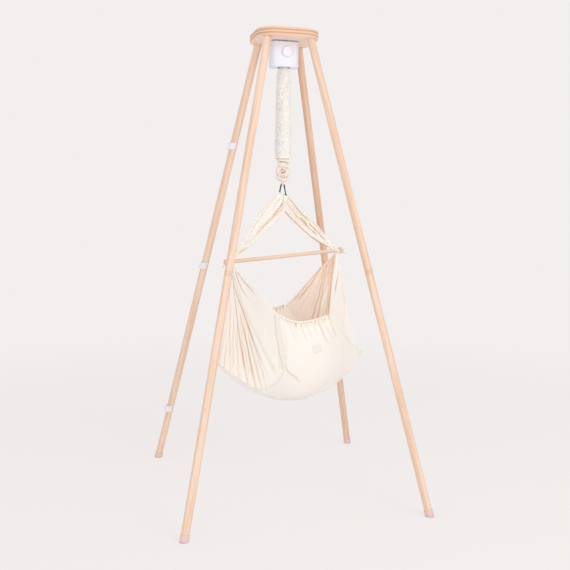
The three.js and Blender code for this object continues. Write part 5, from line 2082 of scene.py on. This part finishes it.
def curve_object(name: str, lines: Sequence[Array]) -> Piece:
    """Makes a curve object with one open line of straight steps for each path.

    Args:
        name: Name of the object.
        lines: Points of each path.

    Returns:
        The object.
    """
    curve = bpy.data.curves.new(name, "CURVE")
    curve.dimensions = "3D"
    for line in lines:
        spline = curve.splines.new("POLY")
        spline.points.add(len(line) - 1)
        spline.points.foreach_set("co", np.column_stack([line, np.ones(len(line))]).ravel())
    return linked(bpy.data.objects.new(name, curve))


class StitchGroup(NodeGroup):
    """Rows of stitches along curves."""

    def __init__(self) -> None:
        """Builds the group."""
        super().__init__("stitches", {
            "Spacing": "Float", "Length": "Float", "Thread": "Float", "Seed": "Int", "Material": "Material",
        })
        places = self.node("GeometryNodeCurveToPoints", {"mode": "LENGTH"}, {
            "Curve": self.value("Geometry"), "Length": self.value("Spacing"),
        })
        stitch = self.node("GeometryNodeMeshUVSphere", inputs={"Segments": 8, "Rings": 6, "Radius": 1.0})
        half = self.node("ShaderNodeMath", {"operation": "MULTIPLY"}, {0: self.value("Length"), 1: 0.5})
        size = self.node("ShaderNodeCombineXYZ", inputs={
            "X": self.value("Thread"), "Y": self.value("Thread"), "Z": half.outputs[0],
        })
        vary = self.node("FunctionNodeRandomValue", {"data_type": "FLOAT_VECTOR"}, {
            0: (0.85, 0.85, 0.9), 1: (1.15, 1.15, 1.1), "Seed": self.value("Seed"),
        })
        scale = self.node("ShaderNodeVectorMath", {"operation": "MULTIPLY"}, {
            0: size.outputs[0], 1: vary.outputs[0],
        })
        rows = self.node("GeometryNodeInstanceOnPoints", inputs={
            "Points": places.outputs["Points"], "Instance": stitch.outputs["Mesh"],
            "Rotation": places.outputs["Rotation"], "Scale": scale.outputs[0],
        })
        self.end(rows.outputs[0])


class CoilGroup(NodeGroup):
    """A wire wound in a coil, with closed end turns."""

    def __init__(self) -> None:
        """Builds the group."""
        super().__init__("coil", {
            "Turns": "Float", "Radius": "Float", "Wire": "Float", "Height": "Float", "Bottom": "Float",
            "Material": "Material",
        })
        spiral = self.node("GeometryNodeCurveSpiral", inputs={
            "Resolution": 28, "Rotations": self.value("Turns"), "Height": self.value("Height"),
            "Start Radius": self.value("Radius"), "End Radius": self.value("Radius"),
        })
        lift = self.node("ShaderNodeCombineXYZ", inputs={"Z": self.value("Bottom")})
        placed = self.node("GeometryNodeTransform", inputs={
            "Geometry": spiral.outputs[0], "Translation": lift.outputs[0],
        })
        wire = self.node("GeometryNodeCurvePrimitiveCircle", inputs={
            "Resolution": 10, "Radius": self.value("Wire"),
        })
        coil = self.node("GeometryNodeCurveToMesh", inputs={
            "Curve": placed.outputs[0], "Profile Curve": wire.outputs[0], "Fill Caps": True,
        })
        self.end(coil.outputs[0])


@dataclass
class CoilSpring:
    """The spring inside the sleeve."""

    bottom: float = 1.442
    length: float = 0.305
    radius: float = 0.011
    wire: float = 0.001
    turns: float = 26.0
    held: float = 0.015

    def build(self, material: Material) -> Piece:
        """Makes the spring.

        Args:
            material: Its finish.

        Returns:
            The piece.
        """
        seedling = new_object("spring_coil", bpy.data.meshes.new("spring_coil"))
        piece = CoilGroup().run(seedling, {
            "Turns": self.turns, "Radius": self.radius, "Wire": self.wire, "Height": self.length,
            "Bottom": self.bottom, "Material": material,
        })
        return hang_between(piece, material, "spring")


@dataclass
class Seams:
    """Rows of stitches along the cradle's seams, edges and patch."""

    shape: CradleShape
    lift: float = 0.0021
    hem_lift: float = 0.0037
    patch_lift: float = 0.0007
    patch_inset: int = 3
    count: int = 320

    def over_pouch(self, along: Array, over: Array, lift: float) -> Array:
        """A line on the pouch, lifted outwards.

        Args:
            along: -1 at the left seam and 1 at the right one.
            over: -1 at the front edge and 1 at the back one.
            lift: How far it is lifted.

        Returns:
            The points, in the cradle's own directions.
        """
        points = self.shape.pouch(along, over)
        step = 1e-3
        safe = np.clip(over, -1 + 2 * step, 1 - 2 * step)
        inner = np.clip(along, -1 + 2 * step, 1 - 2 * step)
        run = self.shape.pouch(inner + step, safe) - self.shape.pouch(inner - step, safe)
        rise = self.shape.pouch(inner, safe + step) - self.shape.pouch(inner, safe - step)
        return points + outwards(points, unit(np.cross(run, rise))) * lift

    def lines(self) -> list[Array]:
        """The paths of all rows, in the cradle's own directions.

        Returns:
            The points of each row.
        """
        over = np.linspace(-0.97, 0.97, self.count)
        rows = [self.over_pouch(np.full(self.count, along), over, self.lift) for along in (-0.975, 0.975)]
        along = np.linspace(-0.95, 0.95, self.count)
        rows += [self.over_pouch(along, np.full(self.count, edge), self.hem_lift) for edge in (-0.985, 0.985)]
        grid = LabelPatch(self.shape).grid()
        inset = self.patch_inset
        loop = np.concatenate([
            grid[inset:-inset, inset], grid[-inset - 1, inset:-inset],
            grid[-inset - 1:inset - 1:-1, -inset - 1], grid[inset, -inset - 1:inset - 1:-1],
        ])
        rows.append(loop + unit(loop - CRADLE_MIDDLE) * self.patch_lift)
        return rows

    def build(self, material: Material) -> Piece:
        """Makes the stitches.

        Args:
            material: Its finish.

        Returns:
            The piece.
        """
        curve = curve_object("cradle_stitches", [self.shape.place(line) for line in self.lines()])
        piece = StitchGroup().run(curve, {
            "Spacing": 0.0044, "Length": 0.0030, "Thread": 0.00055, "Seed": 7, "Material": material,
        })
        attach(piece, "cradle")
        return piece


@dataclass
class SeamRoll:
    """The rolled seam that joins a fan to the pouch."""

    shape: CradleShape
    side: Side
    reach: float = 0.985
    half_width: float = 0.0021
    half_height: float = 0.0016
    outset: float = 0.0012
    pucker_pitch: float = 0.011
    pucker: float = 0.22
    steps: int = 420
    around: int = 16

    def build(self, material: Material) -> Piece:
        """Makes the seam.

        Args:
            material: Its finish.

        Returns:
            The piece.
        """
        over = np.linspace(-self.reach, self.reach, self.steps)
        path = self.shape.seam(self.side, over)
        sign = self.shape.ends[self.side].sign
        arc = run_of(path)
        drift = 0.7 * Ripple(91 + sign, 5.0, 20.0).at(arc, np.zeros_like(arc))
        pucker = ridges(arc / self.pucker_pitch + drift)
        swell = 1.0 + self.pucker * pucker
        path = path + sign * self.outset * RIGHTWARDS
        up = sign * RIGHTWARDS + 0.2 * UP
        rings = tube_rings(path, up, self.half_width * swell, self.half_height * swell, self.around)
        fold = np.broadcast_to(0.6 * smooth_step(0.1, -0.62, pucker)[:, None], rings.shape[:2])
        piece = capped_loft(f"seam_roll_{self.side.value}", self.shape.place(rings), fold)
        return dress(piece, material, "cradle")


# Whole object

CORNERS = ("front_left", "front_right", "back_left", "back_right")


def made(kind: type, *details: object, **more: object) -> object:
    """A field whose default is the material that a finish of this kind and with these details makes."""
    return field(default_factory=lambda: kind(*details, **more).build())


@dataclass
class Finishes:
    """Every material of the object."""

    # The second colour of the cream, sleeve and knot cloths is their painted fold shade; the through colour
    # is the cream cloth's painted inner glow.
    cloth: Material = made(
        ClothFinish, "cream_cloth", srgb(253, 247, 241), srgb(212, 167, 118), Weave.PLAIN, 0.0011, 0.0003,
        through=(0.110, 0.095, 0.084, 1.0)
    )
    sleeve: Material = made(
        ClothFinish, "sleeve_cloth", srgb(251, 243, 239), srgb(206, 192, 188), Weave.PLAIN, 0.0009, 0.0003
    )
    knot: Material = made(
        ClothFinish, "knot_cloth", srgb(250, 240, 230), srgb(186, 128, 84), Weave.PLAIN, 0.0009, 0.0003, 0.95
    )
    webbing: Material = made(
        ClothFinish, "white_webbing", srgb(242, 240, 249), srgb(200, 196, 208), Weave.RIB, 0.0016, 0.0004
    )
    padding: Material = made(
        ClothFinish, "pad_cloth", srgb(246, 242, 236), srgb(214, 200, 184), Weave.TOWELLING, 0.0020, 0.0006
    )
    label: Material = made(
        ClothFinish, "label_cloth", srgb(243, 235, 231), srgb(222, 206, 196), Weave.RIB, 0.0010, 0.0002
    )
    cord: Material = made(
        ClothFinish, "knotted_cord", srgb(240, 212, 188), srgb(196, 146, 104), Weave.RIB, 0.0016, 0.0003
    )
    thread: Material = made(
        ClothFinish, "sewing_thread", srgb(240, 228, 212), srgb(214, 190, 164), Weave.RIB, 0.0005, 0.0001
    )
    plywood: Material = made(PlyFinish, "birch_plywood", 1.880, 0.0316)
    rubber: Material = made(RubberFinish, "milky_rubber", srgb(231, 197, 185), srgb(206, 186, 202))
    shell: Material = made(PlasticFinish, "white_shell", srgb(234, 237, 249), srgb(222, 222, 234))
    black: Material = made(PlasticFinish, "black_shell", srgb(28, 28, 30), srgb(44, 43, 42), 0.42)
    steel: Material = made(MetalFinish, "bright_steel", srgb(196, 198, 202), srgb(150, 150, 152))
    dark_steel: Material = made(MetalFinish, "dark_steel", srgb(72, 73, 78), srgb(50, 50, 54), 0.40)
    coating: Material = made(PlasticFinish, "dark_coating", srgb(30, 26, 26), srgb(48, 40, 38), 0.60)
    brass: Material = made(MetalFinish, "turned_brass", srgb(206, 174, 104), srgb(160, 128, 72))
    circuit: Material = made(CircuitFinish, "circuit_lacquer")


@dataclass
class Stand:
    """Finishes of the stand's and the drive's solids."""

    finishes: Finishes
    board_height: float = 1.880
    foot_spread: float = 0.482
    head_spread: float = 0.089
    leg_joint: float = 0.948

    def leg_slope(self, name: str) -> Triple:
        """Direction of a leg, from its foot to the board.

        Args:
            name: A name with the corner in it.

        Returns:
            The direction.
        """
        lean = self.foot_spread - self.head_spread
        side = 1.0 if "left" in name else -1.0
        depth = 1.0 if "front" in name else -1.0
        return (side * lean, depth * lean, self.board_height)

    def leg_wood(self, corner: str) -> Material:
        """The beech of one leg, of which the back right one is painted darker as painted shade.

        Args:
            corner: The corner.

        Returns:
            The material.
        """
        slope = Vector(self.leg_slope(corner))
        foot = Vector([-math.copysign(self.foot_spread, lean) for lean in slope.xy] + [0.0])
        joint = foot + slope * (self.leg_joint / self.board_height)
        wood = WoodFinish(f"beech_{corner}", tuple(slope), joint=joint.dot(slope.normalized()))
        # Painted shade: the back right leg's beech is darker.
        if corner == "back_right":
            wood = replace(wood, light=srgb(227, 193, 167), dark=srgb(215, 176, 148))
        return wood.build()

    def build(self) -> None:
        """Gives every shown solid its finish."""
        own = self.finishes
        slots = {
            "plywood": own.plywood, "rubber": own.rubber, "brass": own.brass, "circuit": own.circuit,
            "white_plastic": own.shell, "black_plastic": own.black, "steel": own.steel,
            "dark_steel": own.dark_steel,
        }
        woods = {corner: self.leg_wood(corner) for corner in CORNERS}
        for name, node in frame["nodes"].items():
            if name.startswith("leg_"):
                found = woods[name.split("_", 2)[2]]
            elif name == "spreader_bar":
                start, end = CradleShape().place(np.stack([0.0 * RIGHTWARDS, RIGHTWARDS]))
                found = WoodFinish("beech_bar", tuple((end - start).tolist())).build()
            elif name.startswith("carabiner"):
                found = own.coating
            else:
                found = slots.get(self.slot_of(node))
            if found is not None:
                paint(node, found)

    def fittings(self) -> list[Piece]:
        """Makes the lead's straps and the foot caps.

        Returns:
            The pieces.
        """
        slope = self.leg_slope("back_left")
        lean = tuple(x / slope[2] for x in slope)
        straps = [
            LeadStrap(f"lead_strap_{place}", lean).build(self.finishes.webbing)
            for place in ("top", "middle", "bottom")
        ]
        return straps + [
            FootCap(corner, self.leg_slope(corner), self.foot_spread).build(self.finishes.rubber)
            for corner in CORNERS
        ]

    @staticmethod
    def slot_of(node: Piece) -> str:
        """The record's material slot that a solid uses."""
        return node.data.materials[0].name.split(".")[0] if node.data.materials else ""


# Rows of creases: width and depth in millimetres, painted shade and maybe two fades, then the places by twos.
LEFT_CREASES = creases(
    1000,
    ((8, 9.5, 1, 0.02, 0.6), 20, -660, 92, -560, 167, -560, 254, -621, 492, -775),
    ((7, 7, 0.9, 0.02, 0.6), 50, -860, 192, -885, 325, -914, 479, -933, 613, -943),
    ((5.5, 9.5, 0.95, 0.02, 0.5), 50, -200, 150, -229, 212, -267, 333, -339, 487, -377, 679, -415,
     842, -449, 971, -454),
    ((4.5, 7.5, 0.9, 0.2, 0.25), 350, -250, 408, -267, 550, -281, 692, -291, 862, -291, 971, -296),
    ((4.5, 8, 0.95, 0.05, 0.2), 100, -200, 233, -205, 429, -209, 662, -219, 792, -224, 967, -229),
    ((4.2, 5, 0.5, 0.3, 0.2), 300, -370, 404, -391, 633, -406, 862, -411, 963, -406),
    ((4.2, 5.5, 0.55, 0.3, 0.2), 450, -320, 625, -334, 796, -353, 963, -334),
    ((4.2, 5.5, 0.5, 0.2, 0.2), 150, -100, 404, -104, 738, -118, 942, -109),
    ((3.8, 4.5, 0.45, 0.3, 0.2), 550, -140, 717, -147, 980, -147),
    ((3.8, 4.5, 0.5, 0.3, 0.2), 450, -170, 646, -176, 933, -185),
    ((3.8, 4.5, 0.5, 0.3, 0.2), 600, -255, 750, -258, 950, -262),
    ((3.6, 3.4, 0.62, 0.02, 0.05), 905, -970, 890, -945, 842, -819, 883, -729, 954, -688, 985, -660),
    ((4, 3, 0.35, 0.2, 0.2), 850, -740, 900, -680, 960, -600),
    ((12, 4, 0.28, 0.3, 0.2), 100, -300, 250, -348, 571, -492, 883, -545, 958, -554),
)
RIGHT_CREASES = creases(
    1000,
    ((8.5, -7, 1, 0.02, 0.1), 30, 720, 92, 512, 196, 429, 404, 350, 675, 308, 900, 290),
    ((5, -5, 0.75, 0.1, 0.1), 138, 679, 267, 500, 417, 400, 567, 360, 800, 350),
    ((7, -7, 0.85, 0.05, 0.1), 100, 860, 179, 783, 333, 613, 487, 521, 654, 487, 950, 480),
    ((7, -7, 0.8, 0.05, 0.1), 100, 920, 225, 846, 388, 642, 550, 567, 729, 554, 950, 560),
    ((6, -5, 0.6, 0.05, 0.2), 120, 950, 246, 879, 375, 750, 487, 658, 658, 615, 880, 610),
    ((8, -5, 0.3, 0.1, 0.4), 150, 975, 320, 900, 550, 800, 800, 740),
    ((8, -7, 0.85, 0.02, 0.2), 120, 990, 237, 975, 496, 892, 679, 896, 900, 910),
    ((5.5, -5, 0.85, 0.02, 0.2), 100, 990, 379, 982, 608, 963, 767, 954, 950, 950),
    ((9, 7, 1, 0.02, 0.3), 20, -240, 75, -308, 221, -633, 367, -771, 504, -838, 671, -879),
    ((8, 5, 0.7, 0.2, 0.3), 100, -160, 233, -196, 358, -221, 462, -208, 617, -250, 750, -270),
    ((6, 4, 0.5, 0.3, 0.2), 800, -620, 954, -567, 992, -420),
)
LEFT_EDGES = (
    (-60, -6, 38), (-20, -22, 39), (30, -38, 41), (75, -38, 43.6), (213, -30, 48.6), (364, -21.5, 50.2),
    (500, -16.5, 42.5), (630, -12.4, 32.1), (762, -4.5, 20.4), (860, -3, 12), (1050, -6, 7),
)
RIGHT_EDGES = (
    (-60, -26, 6), (-20, -27.5, 18), (30, -30, 28), (47, -30.5, 29), (188, -33.8, 29.8), (326, -38.7, 28.7),
    (475, -37.9, 26.4), (632, -28.7, 25.8), (751, -17.7, 19.5), (865, -9, 13.8), (1050, -6, 6),
)
# Rows of creases: width and depth in millimetres, painted shade and maybe two fades, then the places by twos.
LEFT_STRAP_CREASES = creases(
    10000,
    ((3.4, 6, 1, 0.05, 0.5), -23, 14, 45, -51, 102, -47, 175, -33, 240, -57, 283, -66),
    ((3, 4, 0.7, 0.1, 0.4), -50, 109, 4, -41, 91, -148),
    ((3, 2.6, 0.5, 0.1, 0.5), -26, 185, 47, 202, 129, 193, 218, 211),
    ((3, 2.2, 0.4), 1, 361, 123, 405, 253, 419, 388, 421, 510, 335),
    ((3, 2.8, 0.8, 0.2, 0.2), 684, -44, 751, -14, 843, 29),
    ((4, 2.4, 0.35, 0.3, 0.3), 483, 170, 608, 134, 751, 112),
)
RIGHT_STRAP_CREASES = creases(
    10000,
    ((3.4, 5, 1, 0.05, 0.3), -9, -225, 80, -251, 183, -209, 278, -190, 383, -228, 470, -254),
    ((3.4, 6, 1, 0.2, 0.2), 261, -27, 334, -34, 416, 0),
    ((3, 5, 0.9, 0.1, 0.2), 386, -131, 481, -121, 581, -104, 689, -37, 765, -40),
    ((3, 4, 0.7, 0.2, 0.2), 332, 30, 443, 33, 551, 21, 624, 4),
    ((3, 3, 0.6, 0.1, 0.3), -7, -70, 66, 6, 161, 15, 267, 67, 383, 93),
    ((3, 3, 0.6, 0.2, 0.3), 386, -291, 540, -275, 689, -202),
    ((4, 3, 0.9, 0.05, 0.1), 60, 275, 191, 288, 337, 277, 532, 255, 700, 205, 862, 130),
)


class Cradle:
    """All soft and sewn pieces that hang from the spring."""

    def __init__(self, finishes: Finishes) -> None:
        """Takes the finishes."""
        self.finishes = finishes
        self.shape = CradleShape()

    def build(self) -> list[Piece]:
        """Makes every piece.

        Returns:
            The pieces.
        """
        cloth = self.finishes.cloth
        gate = swept("carabiner_gate", "gate_open")
        pieces = [
            EndFan(self.shape, Side.LEFT, creases=LEFT_CREASES).build(cloth),
            EndFan(self.shape, Side.RIGHT, creases=RIGHT_CREASES, folds=9.0).build(cloth),
            HangStrap(
                self.shape, Side.LEFT, 0.018, LEFT_EDGES, LEFT_STRAP_CREASES, pleats=3.6, forward=-0.002
            ).build(cloth, gate),
            HangStrap(
                self.shape, Side.RIGHT, 0.015, RIGHT_EDGES, RIGHT_STRAP_CREASES, pleats=5.2, forward=0.002
            ).build(cloth, gate),
        ]
        for side, tail in ((Side.LEFT, 0.024), (Side.RIGHT, 0.015)):
            pieces += [
                BarTie(self.shape, side, tail=tail).build(self.finishes.cord),
                SeamRoll(self.shape, side).build(cloth),
            ]
        return pieces + [
            Pouch(self.shape).build(cloth),
            MouthHem(self.shape, "mouth_hem_front", -1).build(cloth),
            MouthHem(self.shape, "mouth_hem_back", 1).build(cloth),
            Mattress(self.shape).build(self.finishes.padding),
            LabelPatch(self.shape).build(self.finishes.label),
            Seams(self.shape).build(self.finishes.thread),
            SpringSleeve().build(self.finishes.sleeve),
            KnottedLoop().build(self.finishes.knot),
            CoilSpring().build(self.finishes.steel),
        ]


@dataclass(frozen=True)
class Lamp:
    """A soft square light that faces the middle of the object."""

    name: str
    place: Triple
    size: float
    power: float
    colour: Triple = (1.0, 0.99, 0.985)
    target: Triple = (0.0, 0.0, 0.9)

    def build(self) -> None:
        """Adds the light."""
        data = bpy.data.lights.new(self.name, "AREA")
        data.shape = "SQUARE"
        data.size = self.size
        data.energy = self.power
        data.color = self.colour
        light = linked(bpy.data.objects.new(self.name, data))
        light.location = self.place
        light.rotation_mode = "QUATERNION"
        light.rotation_quaternion = (Vector(self.target) - Vector(self.place)).to_track_quat("-Z", "Y")


@dataclass
class Studio:
    """Camera, floor, background and lights."""

    location: Triple = (-0.81347, -3.10785, 1.20053)
    right: Triple = (0.96650027, -0.2565175, 0.00871749)
    forward: Triple = (0.25605477, 0.96130209, -0.10165753)
    up: Triple = (0.01769679, 0.10048419, 0.99478126)
    lens: float = 47.885
    background: Colour = srgb(243, 239, 238)
    cloudy: Colour = srgb(240, 236, 235)
    floor_half: float = 40.0
    ambient: float = 0.82
    ambient_colour: Colour = (1.0, 0.985, 0.975, 1.0)
    lamps: tuple[Lamp, ...] = (
        Lamp("key", (1.9, -3.6, 2.6), 2.6, 45.0),
        Lamp("fill", (-2.2, -3.6, 1.4), 2.4, 29.0),
    )

    def place_camera(self) -> None:
        """Puts the camera where the photograph was taken from."""
        data = bpy.data.cameras.new("camera")
        data.lens = self.lens
        data.sensor_width = 36.0
        data.clip_end = 200.0
        camera = linked(bpy.data.objects.new("camera", data))
        axes = Matrix((self.right, self.up, tuple(-x for x in self.forward))).transposed()
        camera.matrix_world = Matrix.Translation(self.location) @ axes.to_4x4()
        bpy.context.scene.camera = camera

    def lay_floor(self) -> None:
        """Lays the pale floor, which keeps the object's shadow."""
        half = self.floor_half
        mesh = bpy.data.meshes.new("floor")
        around = [(-half, -half, 0), (half, -half, 0), (half, half, 0), (-half, half, 0)]
        mesh.from_pydata(around, [], [(0, 1, 2, 3)])
        floor = linked(bpy.data.objects.new("floor", mesh))
        sheet = ShaderSheet("pale_floor")
        cloud = sheet.cloud(3.0, 3.0)
        base = sheet.mix(cloud * 0.1, self.background, self.cloudy)
        sheet.finish(base_color=base, roughness=cloud * 0.1 + 0.8)
        glow = sheet.node("ShaderNodeEmission", inputs={"Color": self.background, "Strength": 1.0})
        across, along, _ = sheet.parts(sheet.place())
        far = (across * across + along * along).between(1.2, 16.0)
        blend = sheet.node(
            "ShaderNodeMixShader", inputs={0: far * 0.3 + 0.7, 1: sheet.shader.outputs[0], 2: glow.outputs[0]}
        )
        sheet.feed(sheet.output.inputs["Surface"], blend.outputs[0])
        mesh.materials.append(sheet.material)
        floor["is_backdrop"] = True

    def light_world(self) -> None:
        """Gives the world the background colour for the camera and an even light for the rest."""
        world = bpy.data.worlds.new("world")
        bpy.context.scene.world = world
        world.use_nodes = True
        sheet = Sheet(world.node_tree)
        sheet.tree.nodes.clear()
        path = sheet.node("ShaderNodeLightPath")
        seen = path.outputs["Is Camera Ray"]
        for label in ("Is Glossy Ray", "Is Transmission Ray"):
            either = sheet.node("ShaderNodeMath", {"operation": "MAXIMUM"}, {0: seen, 1: path.outputs[label]})
            seen = either.outputs[0]
        ambient = {"Color": self.ambient_colour, "Strength": self.ambient}
        soft = sheet.node("ShaderNodeBackground", inputs=ambient)
        plain = sheet.node("ShaderNodeBackground", inputs={"Color": self.background})
        blend = sheet.node("ShaderNodeMixShader", inputs={0: seen, 1: soft.outputs[0], 2: plain.outputs[0]})
        sheet.node("ShaderNodeOutputWorld", inputs={"Surface": blend.outputs[0]})

    def build(self) -> None:
        """Sets the whole stage."""
        self.place_camera()
        self.lay_floor()
        self.light_world()
        for lamp in self.lamps:
            lamp.build()
        bpy.context.scene.view_settings.view_transform = "Standard"


def corners(box: tuple[Vector, Vector]) -> list[list[float]]:
    """A box's two corners as plain numbers."""
    return [[float(x) for x in corner] for corner in box]


def main() -> None:
    """Builds the looks of the whole object."""
    logging.basicConfig(level=logging.INFO)
    Studio().build()
    finishes = Finishes()
    stand = Stand(finishes)
    stand.build()
    for piece in [*Cradle(finishes).build(), *stand.fittings()]:
        log.info("%s is made, with %d faces", piece.name, len(piece.data.polygons))
    {"cad": corners(cad_box), "visual": corners(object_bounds())}


if __name__ == "__main__":
    main()
